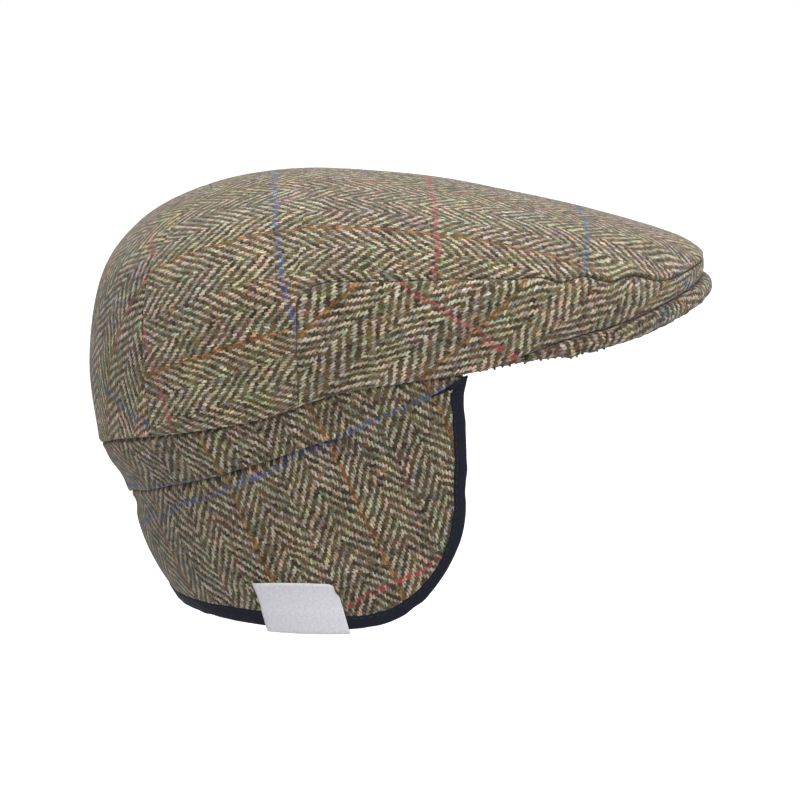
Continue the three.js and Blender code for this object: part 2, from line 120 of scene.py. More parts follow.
def unit(vectors):
    return vectors / np.maximum(np.linalg.norm(vectors, axis=-1, keepdims=True), 1e-12)


def walkedAlong(points):
    # the distance walked along a line of points, at each of them
    return np.concatenate([[0], np.cumsum(np.linalg.norm(np.diff(points, axis=0), axis=1))])


def lineNoise(at, scale, seed):
    # smooth random values from -1 to 1 along a line
    knots = np.random.default_rng(seed).uniform(-1, 1, 2048)
    x = at / scale + 1024
    i = np.floor(x).astype(int)
    t = x - i
    return mix(knots[i], knots[i + 1], t * t * (3 - 2 * t))


# The crown's surface, by angle from the front and by rise from its lower edge to its top

crown = {
    "axisX": -10.0, "height": 87.0, "cloth": 2.0,
    "rise": [0.0, 0.15, 0.30, 0.47, 0.72],
    "back": [99.3, 103.0, 97.7, 81.6, 46.0],  # reach of each level from the axis
    "front": [169.0, 169.8, 169.2, 158.0, 88.0],
    "halfWidth": [84.0, 88.0, 86.5, 72.0, 41.0],
    "power": [2.30, 2.30, 2.30, 2.25, 2.10],
    "angle": [0, 8, 16, 26, 36, 50, 70, 90, 110, 130, 155, 180],
    "heights": [
        [40.3, 38.6, 33.2, 24.6, 18.4, 7.4, 2.0, -2.6, -12.6, -19.4, -26.4, -33.0],
        [44.6, 43.4, 39.5, 34.0, 31.0, 27.0, 24.5, 21.5, 17.0, 12.5, 8.0, 5.0],
        [48.8, 48.0, 45.0, 43.0, 44.4, 45.6, 45.8, 45.6, 44.8, 43.0, 40.5, 39.0],
        [56.5, 56.8, 57.3, 58.5, 60.5, 63.0, 65.0, 65.8, 65.6, 64.6, 63.2, 62.5],
        [75.6, 75.7, 76.0, 76.8, 77.8, 79.3, 80.6, 81.2, 81.2, 81.0, 80.8, 80.6],
    ],
}

seams = {
    "sideAngle": 100.5, "cornerStart": 90.0, "cornerRise": 0.235, "sideRise": 0.30,
    "archHalfAngle": 37.5, "archRise": 0.70, "archPower": 3.0,
    "flankShare": 0.4,  # how far above the corner the arch is followed by its flanks
    "gap": 0.18,
}


def planReach(angle, back, front, halfWidth, power):
    along, across = np.cos(np.radians(angle)), np.abs(np.sin(np.radians(angle)))
    length = np.where(along > 0, front, back)
    return ((np.abs(along) / length) ** power + (across / halfWidth) ** power) ** (-1 / power)


def folded(angle):
    return np.minimum(np.abs(angle), 360 - np.abs(angle))


def placeAt(angle, reach, height):
    a = np.radians(angle)
    return np.stack([crown["axisX"] + reach * np.cos(a), reach * np.sin(a), height], axis=-1)


def levelHeight(level, angle):
    return cubicAlong(crown["angle"], crown["heights"][level], folded(angle), 0, 0)


def crownSurface(angle, rise):
    c = crown
    reaches = [planReach(angle, *level) for level in
               zip(c["back"], c["front"], c["halfWidth"], c["power"])]
    heights = [levelHeight(k, angle) for k in range(len(c["rise"]))]
    knots = [*c["rise"], 1.0]
    inward = -reaches[-1] / (1 - c["rise"][-1])
    reach = cubicAlong(knots, [*reaches, 0 * angle], rise, None, inward)
    height = cubicAlong(knots, [*heights, 0 * angle + c["height"]], rise, None, 0)
    return placeAt(angle, np.maximum(reach, 0), height)


def surfaceNormal(surface, u, v, uStep, vStep):
    across = surface(u + uStep, v) - surface(u - uStep, v)
    up = surface(u, v + vStep) - surface(u, v - vStep)
    return unit(np.cross(across, up))


def crownNormal(angle, rise):
    normal = surfaceNormal(crownSurface, angle, np.maximum(rise, 0.003), 0.5, 0.003)
    normal[rise > 0.99] = (0, 0, 1)
    return normal


def sideSeamRise(angle):
    turned = folded(angle)
    t = np.clip((turned - seams["cornerStart"]) / (seams["sideAngle"] - seams["cornerStart"]), 0, 1)
    return mix(seams["cornerRise"], seams["sideRise"], np.sqrt(1 - t * t))


def archAngleAt(rise):
    s = seams
    return 180 - s["archHalfAngle"] * (1 - (rise / s["archRise"]) ** s["archPower"]) ** (1 / s["archPower"])


def archRiseAt(angle):
    s = seams
    share = np.minimum((180 - folded(angle)) / s["archHalfAngle"], 1)
    return s["archRise"] * (1 - share ** s["archPower"]) ** (1 / s["archPower"])


flankTop = mix(seams["cornerRise"], 1, seams["flankShare"])


# Spacing of the cloth's rows and columns, in shares of a line

closeRows = [0.25, 0.7, 1.3, 2.1]  # distances from a seam at which the cloth is followed closely


def spaced(length, step, closeStart=True, closeEnd=True):
    start = [0.0] + [d for d in closeRows if closeStart]
    end = [length - d for d in reversed(closeRows) if closeEnd] + [length]
    count = max(int(round((end[0] - start[-1]) / step)), 1)
    between = np.linspace(start[-1], end[0], count + 1)
    return np.array([*start[:-1], *between, *end[1:]]) / length


def evenly(curve):
    # the length of a curve, and its own variable at each even share of that length
    fine = np.linspace(0, 1, 4001)
    walked = walkedAlong(curve(fine))
    return walked[-1], lambda share: np.interp(share * walked[-1], walked, fine)


def evenShares(curve, step, closeStart=True, closeEnd=True):
    length, rawAt = evenly(curve)
    return rawAt(spaced(length, step, closeStart, closeEnd))


# Patches of cloth. A patch maps shares (s, t) to a place on a surface.

def patch(place, s, t, coarse):
    return {"place": place, "s": s, "t": t, "coarse": coarse}


def weld(patches, surface, normalAt, coarse=False):
    # one sheet of points, normals and quads, with each point's patch and its shares there
    places, owners, grids, start = [], [], [], 0
    for number, p in enumerate(patches):
        s = np.linspace(0, 1, p["coarse"][0] + 1) if coarse else p["s"]
        t = np.linspace(0, 1, p["coarse"][1] + 1) if coarse else p["t"]
        sGrid, tGrid = (g.ravel() for g in np.meshgrid(s, t, indexing="ij"))
        u, v = p["place"](sGrid, tGrid)
        places.append(np.stack([u, v], axis=1))
        owners.append(np.stack([np.full(len(u), float(number)), sGrid, tGrid], axis=1))
        grids.append(start + np.arange(len(u)).reshape(len(s), len(t)))
        start += len(u)
    places, owners = np.concatenate(places), np.concatenate(owners)
    points = surface(places[:, 0], places[:, 1])
    _, first, same = np.unique(np.round(points, 2), axis=0, return_index=True, return_inverse=True)
    same = same.ravel()
    quads = []
    for grid in grids:
        g = same[grid]
        quads.append(np.stack([g[:-1, :-1], g[1:, :-1], g[1:, 1:], g[:-1, 1:]], axis=-1).reshape(-1, 4))
    quads = np.concatenate(quads)
    places, points = places[first], points[first]
    return {"points": points, "normals": normalAt(places[:, 0], places[:, 1]), "quads": quads,
            "places": places, "owner": owners[first], "grids": [same[g] for g in grids]}


def trianglesOf(quads):
    tris = np.concatenate([quads[:, [0, 1, 2]], quads[:, [0, 2, 3]]])
    a, b, c = tris.T
    return tris[(a != b) & (b != c) & (c != a)]


def flattenCut(points, triangles, guess, rounds=60):
    # lays a sheet out flat so that its triangles keep their shape and size as far as they can
    corners = points[triangles]
    along = corners[:, 1] - corners[:, 0]
    length = np.linalg.norm(along, axis=1)
    xAxis = along / length[:, None]
    third = corners[:, 2] - corners[:, 0]
    x = (third * xAxis).sum(1)
    y = np.linalg.norm(third - x[:, None] * xAxis, axis=1)
    local = np.zeros((len(triangles), 3, 2))
    local[:, 1, 0], local[:, 2, 0], local[:, 2, 1] = length, x, y
    n = len(points)
    matrix, edges = np.zeros((n, n)), []
    for i in range(3):
        j, k = (i + 1) % 3, (i + 2) % 3
        toI, toJ = local[:, i] - local[:, k], local[:, j] - local[:, k]
        weight = (toI * toJ).sum(1) / np.maximum(np.abs(toI[:, 0] * toJ[:, 1] - toI[:, 1] * toJ[:, 0]), 1e-6)
        a, b = triangles[:, i], triangles[:, j]
        edges.append((a, b, np.maximum(weight, 0.02), local[:, i] - local[:, j]))
        for row, column, sign in ((a, a, 1), (b, b, 1), (a, b, -1), (b, a, -1)):
            np.add.at(matrix, (row, column), sign * edges[-1][2])
    matrix[0, 0] += 1
    solve = np.linalg.inv(matrix)
    flat = guess - guess[0]
    for _ in range(rounds):
        turn = sum(w[:, None, None] * (flat[a] - flat[b])[:, :, None] * d[:, None, :] for a, b, w, d in edges)
        cosine, sine = turn[:, 0, 0] + turn[:, 1, 1], turn[:, 0, 1] - turn[:, 1, 0]
        size = np.maximum(np.hypot(cosine, sine), 1e-12)
        cosine, sine = cosine / size, sine / size
        right = np.zeros((n, 2))
        for a, b, w, d in edges:
            pull = w[:, None] * np.stack([cosine * d[:, 0] + sine * d[:, 1],
                                          cosine * d[:, 1] - sine * d[:, 0]], axis=1)
            np.add.at(right, a, pull)
            np.add.at(right, b, -pull)
        flat = solve @ right
    return flat


def lineUp(flat, guess):
    # turns and shifts the flat cut onto its first guess
    a, b = flat - flat.mean(0), guess - guess.mean(0)
    turn = math.atan2((a[:, 0] * b[:, 1] - a[:, 1] * b[:, 0]).sum(), (a * b).sum())
    cosine, sine = math.cos(turn), math.sin(turn)
    return a @ np.array([[cosine, sine], [-sine, cosine]]) + guess.mean(0)


def readGrid(grid, s, t):
    # cubic reading of an even grid of places at shares s and t
    def padded(g):
        return np.concatenate([2 * g[:1] - g[1:2], g, 2 * g[-1:] - g[-2:-1]])

    g = padded(grid)
    g = padded(g.transpose(1, 0, 2)).transpose(1, 0, 2)

    def weights(share, count):
        x = np.clip(share, 0, 1) * count
        k = np.minimum(np.floor(x).astype(int), count - 1)
        f = x - k
        return k, [(-f**3 + 2 * f**2 - f) / 2, (3 * f**3 - 5 * f**2 + 2) / 2,
                   (-3 * f**3 + 4 * f**2 + f) / 2, (f**3 - f**2) / 2]

    i, wi = weights(s, grid.shape[0] - 1)
    j, wj = weights(t, grid.shape[1] - 1)
    return sum((wi[a] * wj[b])[:, None] * g[i + a, j + b] for a in range(4) for b in range(4))


def layOut(patches, surface, normalAt, guessAt, sheet):
    # flat places of a fine sheet's points, from the same sheet laid out coarsely
    rough = weld(patches, surface, normalAt, coarse=True)
    guess = guessAt(rough["places"][:, 0], rough["places"][:, 1], rough["points"])
    flat = flattenCut(rough["points"], trianglesOf(rough["quads"]), guess)
    flat = lineUp(flat, guess)
    out = np.zeros((len(sheet["points"]), 2))
    for number, grid in enumerate(rough["grids"]):
        mine = sheet["owner"][:, 0] == number
        out[mine] = readGrid(flat[grid], sheet["owner"][mine, 1], sheet["owner"][mine, 2])
    return out


def boundaryEdges(quads):
    edges = np.concatenate([quads[:, [k, (k + 1) % 4]] for k in range(4)])
    edges = edges[edges[:, 0] != edges[:, 1]]
    found = set(map(tuple, edges))
    return [(a, b) for a, b in found if (b, a) not in found]


def cutSize(name, flat, quads):
    # width, length and area of the flat cut, in metres
    tris = trianglesOf(quads)
    a, b, c = (flat[tris[:, k]] for k in range(3))
    area = abs(((b - a)[:, 0] * (c - a)[:, 1] - (b - a)[:, 1] * (c - a)[:, 0]).sum()) / 2 * mm * mm
    width, length = np.ptp(flat, axis=0) * mm
    print(f"{name}: {len(quads)} quads, cut {width:.3f} by {length:.3f} m, {area:.4f} m2")
    return (width, length), area


# Meshes

def meshObject(name, points, faces, uvs, materials, slots=None):
    # an object in metres from points in millimetres, with a UV for each corner of each face
    mesh = bpy.data.meshes.new(name)
    mesh.from_pydata((np.asarray(points) * mm).tolist(), [], faces)
    layer = mesh.uv_layers.new(name="cloth")
    layer.data.foreach_set("uv", (np.asarray(uvs, np.float32) * mm).ravel())
    for material in materials:
        mesh.materials.append(material)
    if slots is not None:
        mesh.polygons.foreach_set("material_index", np.asarray(slots, np.int32))
    mesh.polygons.foreach_set("use_smooth", [True] * len(mesh.polygons))
    mesh.update()
    return placed(name, mesh)


def trimmed(points, normals, edges, distance):
    # draws the border in along the surface, so that neighbours keep a gap
    points = points.copy()
    inward = np.zeros_like(points)
    for a, b in edges:
        pull = unit(np.cross(normals[a], points[b] - points[a]))
        inward[a] += pull
        inward[b] += pull
    length = np.linalg.norm(inward, axis=1)
    moved = length > 1e-9
    distance = np.broadcast_to(distance, len(points))
    points[moved] += inward[moved] / length[moved, None] * distance[moved, None]
    return points


wall = {"least": 0.4, "knee": 0.75}  # least thickness, and where the border starts to reach in


def clothShell(name, sheet, flat, sunk, thickness, materials, slip=None, tuck=0.0):
    # a closed wall of cloth. sunk is how far each point of its face lies under the surface, slip
    # is how far the weave is moved along on faces most of whose corners have one, and tuck is how
    # far the border reaches in under the neighbour on the inside.
    edges = boundaryEdges(sheet["quads"])
    base = trimmed(sheet["points"], sheet["normals"], edges, seams["gap"] / 2)
    count = len(base)
    outer = base - sheet["normals"] * sunk[:, None]
    depth = np.maximum(thickness, sunk + wall["least"])
    inner = trimmed(base, sheet["normals"], edges, -tuck) - sheet["normals"] * depth[:, None]
    border = np.unique(edges)
    knee = base - sheet["normals"] * mix(sunk, depth, wall["knee"])[:, None]
    kneeAt = {v: 2 * count + k for k, v in enumerate(border.tolist())}
    faces, slots = [], []
    for quad in sheet["quads"].tolist():
        faces.append([v for k, v in enumerate(quad) if v != quad[k - 1]])
    faces += [[v + count for v in reversed(face)] for face in faces]
    slots += [0] * len(sheet["quads"]) + [1] * len(sheet["quads"])
    for a, b in np.asarray(edges).tolist():
        faces.append([b, a, kneeAt[a], kneeAt[b]])
        faces.append([kneeAt[b], kneeAt[a], a + count, b + count])
        slots += [0, 0]
    corners = np.array([v for face in faces for v in face])
    uvs = np.concatenate([flat, flat, flat[border]])[corners]
    if slip is not None:
        moved = np.concatenate([slip, slip, slip[border]])[corners]
        owner = np.repeat(np.arange(len(faces)), [len(face) for face in faces])
        kept = np.bincount(owner, moved != 0) * 2 > np.bincount(owner)
        amount = np.bincount(owner, moved) / np.maximum(np.bincount(owner, moved != 0), 1)
        uvs[:, 1] += np.where(kept[owner], np.where(moved != 0, moved, amount[owner]), 0)
    return meshObject(name, np.concatenate([outer, inner, knee[border]]), faces, uvs, materials, slots)


# Lines of seam, and what they do to the cloth beside them

class SeamLine:
    def __init__(self, points):
        self.points = points
        self.walked = walkedAlong(points)
        self.tree = KDTree(len(points))
        for i, point in enumerate(points):
            self.tree.insert(point, i)
        self.tree.balance()

    def near(self, points):
        # distance of each point from the line, and how far along the line it is
        found = [self.tree.find(p) for p in points]
        return np.array([f[2] for f in found]), self.walked[[f[1] for f in found]]


def crownLine(angleAt, riseAt, count=1600):
    share = np.linspace(0, 1, count)
    return SeamLine(crownSurface(angleAt(share), riseAt(share)))


side = seams["sideAngle"]
flankEnd = float(archAngleAt(np.array([flankTop]))[0])
seamLines = {
    "rim": crownLine(lambda s: 360 * s, lambda s: 0 * s, 2400),
    "topSeam": crownLine(lambda s: mix(-side, side, s),
                         lambda s: sideSeamRise(mix(-side, side, s)), 2400),
    "rearRight": crownLine(lambda s: 0 * s - side, lambda s: seams["cornerRise"] * s, 300),
    "rearLeft": crownLine(lambda s: 0 * s + side, lambda s: seams["cornerRise"] * s, 300),
    "frontSeam": crownLine(lambda s: 0 * s, lambda s: seams["sideRise"] * s, 300),
    "archLeft": crownLine(lambda s: archAngleAt(flankTop * s), lambda s: flankTop * s, 600),
    "archRight": crownLine(lambda s: 360 - archAngleAt(flankTop * s), lambda s: flankTop * s, 600),
    "archTop": crownLine(lambda s: mix(flankEnd, 360 - flankEnd, s),
                         lambda s: archRiseAt(mix(flankEnd, 360 - flankEnd, s)), 600),
}

roll = {
    # how deep and how wide the cloth turns in at each line, and how much it puckers there
    "rim": (1.1, 1.9, 0.10),
    "topSeam": (1.5, 2.4, 0.34),
    "rearRight": (1.2, 2.2, 0.24),
    "rearLeft": (1.2, 2.2, 0.24),
    "frontSeam": (0.9, 1.9, 0.15),
    "archLeft": (0.7, 1.9, 0.16),
    "archRight": (0.7, 1.9, 0.16),
    "archTop": (0.7, 1.9, 0.16),
    "puckerReach": 6.5, "puckerLength": 5.5,
    "sway": 0.25, "swayLength": 9.0, "swayReach": 8.0,
    # how far the top seam rises and falls along the nose, by distance forward
    "noseX": [66.0, 77.0, 86.0, 97.0, 109.0, 119.0, 131.0, 146.0, 160.0],
    "noseUp": [0.0, 1.2, -0.9, 2.2, -0.5, 2.3, -2.2, -1.2, -0.6],
    # the seam's turned edges inside, above the flap, and how far and how much deeper the lower
    # cloth reaches in under the upper one
    "turnDepth": 2.2, "turnWidth": 1.6, "turnFull": 1.3, "turnFrom": 9.0, "turnBy": 13.0,
    "tuck": 1.2, "tuckDepth": 1.0,
    "lap": 0.8, "lapReach": 3.5, "lapFrom": 60.0, "lapTo": 95.0,  # the top's edge stands proud there
}


def swayed(points, normals):
    # the top seam wanders to both sides of its line, most at the nose
    moved = points.copy()
    up = np.cross(normals, np.cross(np.array([0, 0, 1.0]), normals))
    away, walked = seamLines["topSeam"].near(points)
    wave = roll["sway"] * lineNoise(walked, roll["swayLength"], 90)
    forward = points[:, 0].clip(roll["noseX"][0], roll["noseX"][-1])
    wave += cubicAlong(roll["noseX"], roll["noseUp"], forward)
    moved += up * (wave * bump(away, roll["swayReach"]))[:, None]
    return moved


def seamTurn(points, names):
    # how far a point is part of a seam's edges, which are turned inside
    away = np.min([seamLines[name].near(points)[0] for name in names if name != "rim"], axis=0)
    aboveRim, _ = seamLines["rim"].near(points)
    inside = np.clip(roll["turnFull"] - away / roll["turnWidth"], 0, 1)
    return inside * smooth(roll["turnFrom"], roll["turnBy"], aboveRim)


def lapped(points):
    # how much of the lap at the nose each point takes part in
    away, _ = seamLines["topSeam"].near(points)
    share = roll["lap"] * bump(away, roll["lapReach"])
    return share * smooth(roll["lapFrom"], roll["lapTo"], points[:, 0])


def seamSunk(points, names):
    sunk = np.zeros(len(points))
    for number, name in enumerate(names):
        depth, width, pucker = roll[name]
        away, walked = seamLines[name].near(points)
        inside = np.clip(1 - away / width, 0, 1)
        sunk = np.maximum(sunk, depth * (1 - np.sqrt(np.maximum(1 - inside**2, 0))))
        wave = lineNoise(walked, roll["puckerLength"], 40 + number)
        sunk += pucker * wave * bump(away, roll["puckerReach"])
    return sunk


print("seam lines ready")


# Cloth finishes

tweed = {
    "endPitch": 0.00092, "pickPitch": 0.00127,  # metres from one yarn to the next, across and along
    "columnEnds": 12.0,  # warp ends before the twill turns
    "orangeEvery": 48.0, "blueEvery": 106.0, "checkYarns": 2.0,
    "strays": [(3.6, 0.1), (1.8, 0.75)],  # how far yarns stray, and in how many waves to a yarn
    "roundAcross": 0.7, "roundAlong": 0.5,  # how round a float is, as powers
    "warpStreaks": (2.6, 0.7, 1.0), "weftStreaks": (0.7, 3.6, 1.0),  # fibres across and along
    "tintShare": 0.6, "streakFrom": 0.25, "streakShare": 0.8,  # a float's own tint, and its fibres'
    "warpColours": [(0.0, "6b655a"), (0.12, "847d71"), (0.3, "9a9384"), (0.45, "928b79"), (0.58, "aca69a"),
                    (0.68, "8d8d7b"), (0.76, "a69589"), (0.86, "bdb9b0"), (0.93, "909786"), (1.0, "cdcbc4")],
    "weftColours": [(0.0, "271d14"), (0.25, "453524"), (0.45, "5d4c32"), (0.55, "4a442e"), (0.7, "71593d"),
                    (0.8, "484a3c"), (0.9, "7b5438"), (1.0, "917c58")],
    # stray dyed wool, which tints patches of a few yarns
    "strayColours": [(0.3, "5b7f96"), (0.39, "58824f"), (0.46, "948a35"), (0.5, "8c7c58"), (0.55, "b0762c"),
                     (0.62, "ad736a"), (0.7, "7f6a90")],
    "stray": 0.42, "strayScale": 0.13, "strayTone": 4.2,
    "strayWhere": (0.33, 5.0, -2.2, 3.0, 0.65),  # waves to a yarn, strength, start, detail, roughness
    # overchecks: colour, strength on the yarns laid for it and on those that cross it
    "orange": ("94602a", 0.85, 0.252), "blue": ("3c4f7a", 0.9, 0.36), "red": ("92333c", 0.85, 0.36),
    "fade": (0.4, 2.4, -0.25),  # where they wear away, as strayWhere
    "unevenness": 1.1,  # how much one float is lighter or darker than the next
    "tinge": 0.5, "tingeScale": 0.3,  # how far the cloth's own colour wanders, and in how many waves
    "blotches": 0.05, "blotchColour": 3.0, "blotchRedGreen": 0.62,  # broad blotches, the same way
    "slow": (0.055, 0.22),  # waves to a yarn in which the cloth grows lighter and darker
    # how much body, fibres and slow changes lighten the cloth, each with its least light: the body's share is
    # painted shade between the yarns and a painted highlight on their rounds
    "shades": ((0.9, 0.38), (1.1, 0.45), (0.7, 0.3)), "brightest": 1.55,
    "warpRelief": 0.15, "fibreRelief": 0.35,  # how far warp floats and fibres stand out
}


def colour(code):
    # linear colour from a hexadecimal one
    parts = [int(code[k:k + 2], 16) / 255 for k in (0, 2, 4)]
    return (*[c / 12.92 if c <= 0.04045 else ((c + 0.055) / 1.055) ** 2.4 for c in parts], 1.0)


class Wiring:
    # short ways to place shader nodes in a tree and join them
    def __init__(self, tree):
        self.tree = tree

    def node(self, kind, inputs=None, **settings):
        made = self.tree.nodes.new(kind)
        for key, value in settings.items():
            setattr(made, key, value)
        for key, value in (inputs or {}).items():
            self.feed(made.inputs[key], value)
        return made

    def feed(self, socket, value):
        if isinstance(value, bpy.types.NodeSocket):
            self.tree.links.new(value, socket)
        else:
            socket.default_value = value

    def math(self, operation, a, b=0.0, c=0.0):
        return self.node("ShaderNodeMath", {0: a, 1: b, 2: c}, operation=operation).outputs[0]

    def clamped(self, operation, a, b=0.0, c=0.0):
        return self.node("ShaderNodeMath", {0: a, 1: b, 2: c}, operation=operation,
                         use_clamp=True).outputs[0]

    def add(self, a, b):
        return self.math("ADD", a, b)

    def minus(self, a, b):
        return self.math("SUBTRACT", a, b)

    def times(self, a, b):
        return self.math("MULTIPLY", a, b)

    def vectorMath(self, operation, a, b=(0, 0, 0)):
        return self.node("ShaderNodeVectorMath", {0: a, 1: b}, operation=operation).outputs[0]

    def vector(self, x, y, z=0.0):
        return self.node("ShaderNodeCombineXYZ", {0: x, 1: y, 2: z}).outputs[0]

    def mixed(self, share, a, b, blend="MIX"):
        made = self.node("ShaderNodeMix", data_type="RGBA", blend_type=blend)
        for socket, value in ((made.inputs[0], share), (made.inputs[6], a), (made.inputs[7], b)):
            self.feed(socket, value)
        return made.outputs[2]

    def blended(self, share, a, b):
        # a where share is 0, b where it is 1, for plain values
        return self.add(a, self.times(share, self.minus(b, a)))

    def toned(self, base, value):
        # a colour made lighter or darker by a plain value
        return self.mixed(1.0, base, self.vector(value, value, value), "MULTIPLY")

    def noise(self, vector, scale, detail=2.0, roughness=0.5):
        return self.node("ShaderNodeTexNoise", {"Vector": vector, "Scale": scale, "Detail": detail,
                                                "Roughness": roughness})

    def random(self, x, y, seed):
        return self.node("ShaderNodeTexWhiteNoise", {"Vector": self.vector(x, y, seed)},
                         noise_dimensions="3D").outputs["Value"]

    def ramp(self, value, stops, interpolation="LINEAR"):
        made = self.node("ShaderNodeValToRGB", {0: value})
        made.color_ramp.interpolation = interpolation
        elements = made.color_ramp.elements
        for k, (place, code) in enumerate(stops):
            element = elements[k] if k < 2 else elements.new(place)
            element.position, element.color = place, colour(code)
        return made.outputs["Color"]


def newGroup(name, inputs, outputs, kind="ShaderNodeTree"):
    # an input is given by its starting value, or by its type where it has none
    group = bpy.data.node_groups.new(name, kind)
    types = {float: "Float", int: "Int", tuple: "Vector"}
    for label, value in inputs.items():
        given = value if isinstance(value, str) else types[type(value)]
        socket = group.interface.new_socket(label, in_out="INPUT", socket_type="NodeSocket" + given)
        if given != value:
            socket.default_value = value
    for label, given in outputs.items():
        group.interface.new_socket(label, in_out="OUTPUT", socket_type="NodeSocket" + given)
    wiring = Wiring(group)
    return group, wiring, wiring.node("NodeGroupInput").outputs, wiring.node("NodeGroupOutput").inputs


def herringboneGroup(s):
    # a 2/2 herringbone: each warp end floats over two picks and under two, one pick further on
    # from each end to the next, and the slant turns every few ends
    group, w, given, out = newGroup(
        "herringbone tweed",
        {"Cloth": "Vector", "End pitch": s["endPitch"], "Pick pitch": s["pickPitch"],
         "Lightness": 1.0, "Mottle": 0.2},
        {"Color": "Color", "Height": "Float"})
    yarns = w.vectorMath("DIVIDE", given["Cloth"], w.vector(given["End pitch"], given["Pick pitch"], 1.0))
    level = yarns
    for strength, scale in s["strays"]:
        stray = w.vectorMath("SUBTRACT", w.noise(level, scale, 2.0).outputs["Color"], (0.5, 0.5, 0.5))
        yarns = w.vectorMath("ADD", yarns, w.vectorMath("MULTIPLY", stray, (strength, strength, 0)))
    split = w.node("ShaderNodeSeparateXYZ", {0: yarns}).outputs
    across, along = split[0], split[1]
    end, pick = w.math("FLOOR", across), w.math("FLOOR", along)
    even = w.math("FLOORED_MODULO", w.math("FLOOR", w.math("DIVIDE", end, s["columnEnds"])), 2.0)
    back = w.minus(1.0, even)
    slant = w.minus(even, back)
    stagger = w.times(slant, end)
    step = w.add(pick, stagger)
    warpUp = w.math("LESS_THAN", w.math("FLOORED_MODULO", step, 4.0), 2.0)
    floatNumber = w.math("FLOOR", w.math("DIVIDE", step, 4.0))

    # where a point lies along and across the float that shows there, from 0 to 1
    warpAlong = w.times(w.math("FLOORED_MODULO", w.add(along, stagger), 4.0), 0.5)
    weftTurn = w.add(w.add(pick, w.times(slant, across)), back)
    weftAlong = w.times(w.minus(w.math("FLOORED_MODULO", weftTurn, 4.0), 2.0), 0.5)
    floatAlong = w.blended(warpUp, weftAlong, warpAlong)
    floatAcross = w.blended(warpUp, w.math("FRACT", along), w.math("FRACT", across))

    def hump(x):
        return w.clamped("MULTIPLY", w.times(x, w.minus(1.0, x)), 4.0)

    crossHump, longHump = hump(floatAcross), hump(floatAlong)
    body = w.times(w.math("POWER", crossHump, s["roundAcross"]), w.math("POWER", longHump, s["roundAlong"]))

    bright = w.blended(warpUp, w.random(floatNumber, pick, 4.4), w.random(end, floatNumber, 6.1))
    bright = w.add(w.times(bright, s["unevenness"]), 1 - s["unevenness"] / 2)

    def heathered(tint, streaks, colours):
        # one tint for each float, streaked along its fibres
        fibres = w.noise(w.vectorMath("MULTIPLY", yarns, streaks), 1.0, 3.0, 0.65).outputs[0]
        streaked = w.times(w.minus(fibres, s["streakFrom"]), s["streakShare"])
        tint = w.clamped("ADD", w.times(tint, s["tintShare"]), streaked)
        return fibres, w.ramp(tint, colours)

    warpFibres, warpColour = heathered(w.random(end, floatNumber, 1.7), s["warpStreaks"], s["warpColours"])
    weftFibres, weftColour = heathered(w.random(floatNumber, pick, 9.2), s["weftStreaks"], s["weftColours"])

    def parts(scale, strength, start, detail=2.0, roughness=0.5):
        # soft-edged parts of the cloth
        found = w.noise(level, scale, detail, roughness).outputs[0]
        return w.clamped("MULTIPLY_ADD", found, strength, start)

    def every(number, count, start=0.0):
        turned = w.math("FLOORED_MODULO", w.minus(number, start), count)
        return w.math("LESS_THAN", turned, s["checkYarns"])

    fade = parts(*s["fade"])
    checks = ((every(end, s["orangeEvery"]), s["orange"], 1),
              (every(pick, s["blueEvery"]), s["blue"], -1),
              (every(pick, s["blueEvery"], s["blueEvery"] / 2), s["red"], -1))
    for line, (code, *strengths), turn in checks:
        line = w.times(line, fade)
        onWarp, onWeft = strengths[::turn]
        warpColour = w.mixed(w.times(line, onWarp), warpColour, colour(code))
        weftColour = w.mixed(w.times(line, onWeft), weftColour, colour(code))
    cloth = w.mixed(warpUp, weftColour, warpColour)

    # stray wool, a painted highlight on the round of each yarn with painted shade between them, and slow
    # changes over the cloth
    fibres = w.blended(warpUp, weftFibres, warpFibres)
    slow = w.add(*[w.noise(level, scale).outputs[0] for scale in s["slow"]])
    elsewhere = w.vectorMath("ADD", level, (37.0, 11.0, 0))
    dyed = w.ramp(w.noise(elsewhere, s["strayScale"], 4.0, 0.7).outputs[0], s["strayColours"])
    tone = w.node("ShaderNodeRGBToBW", {0: cloth}).outputs[0]
    dyed = w.toned(dyed, w.times(tone, s["strayTone"]))
    cloth = w.mixed(w.times(parts(*s["strayWhere"]), s["stray"]), cloth, dyed)
    tinge = w.noise(level, s["tingeScale"], 2.0, 0.6).outputs["Color"]
    tinge = w.vectorMath("MULTIPLY", tinge, [s["tinge"]] * 3)
    tinge = w.vectorMath("ADD", tinge, [1 - s["tinge"] / 2] * 3)
    cloth = w.mixed(1.0, cloth, tinge, "MULTIPLY")
    blotch = w.noise(level, s["blotches"], 3.0, 0.6).outputs["Color"]
    blotch = w.vectorMath("SUBTRACT", blotch, (0.5, 0.5, 0.5))
    amount = w.times(given["Mottle"], s["blotchColour"])
    less = w.times(amount, s["blotchRedGreen"])
    blotch = w.vectorMath("MULTIPLY", blotch, w.vector(less, less, amount))
    cloth = w.mixed(1.0, cloth, w.vectorMath("ADD", blotch, (1, 1, 1)), "MULTIPLY")
    # painted shade between the yarns and painted highlight on their rounds, from the body's hump, times the
    # floats' own random tone, fibres and slow changes
    shade = bright
    for value, (strength, least) in zip((body, fibres, slow), s["shades"]):
        shade = w.times(w.add(w.times(value, strength), least), shade)
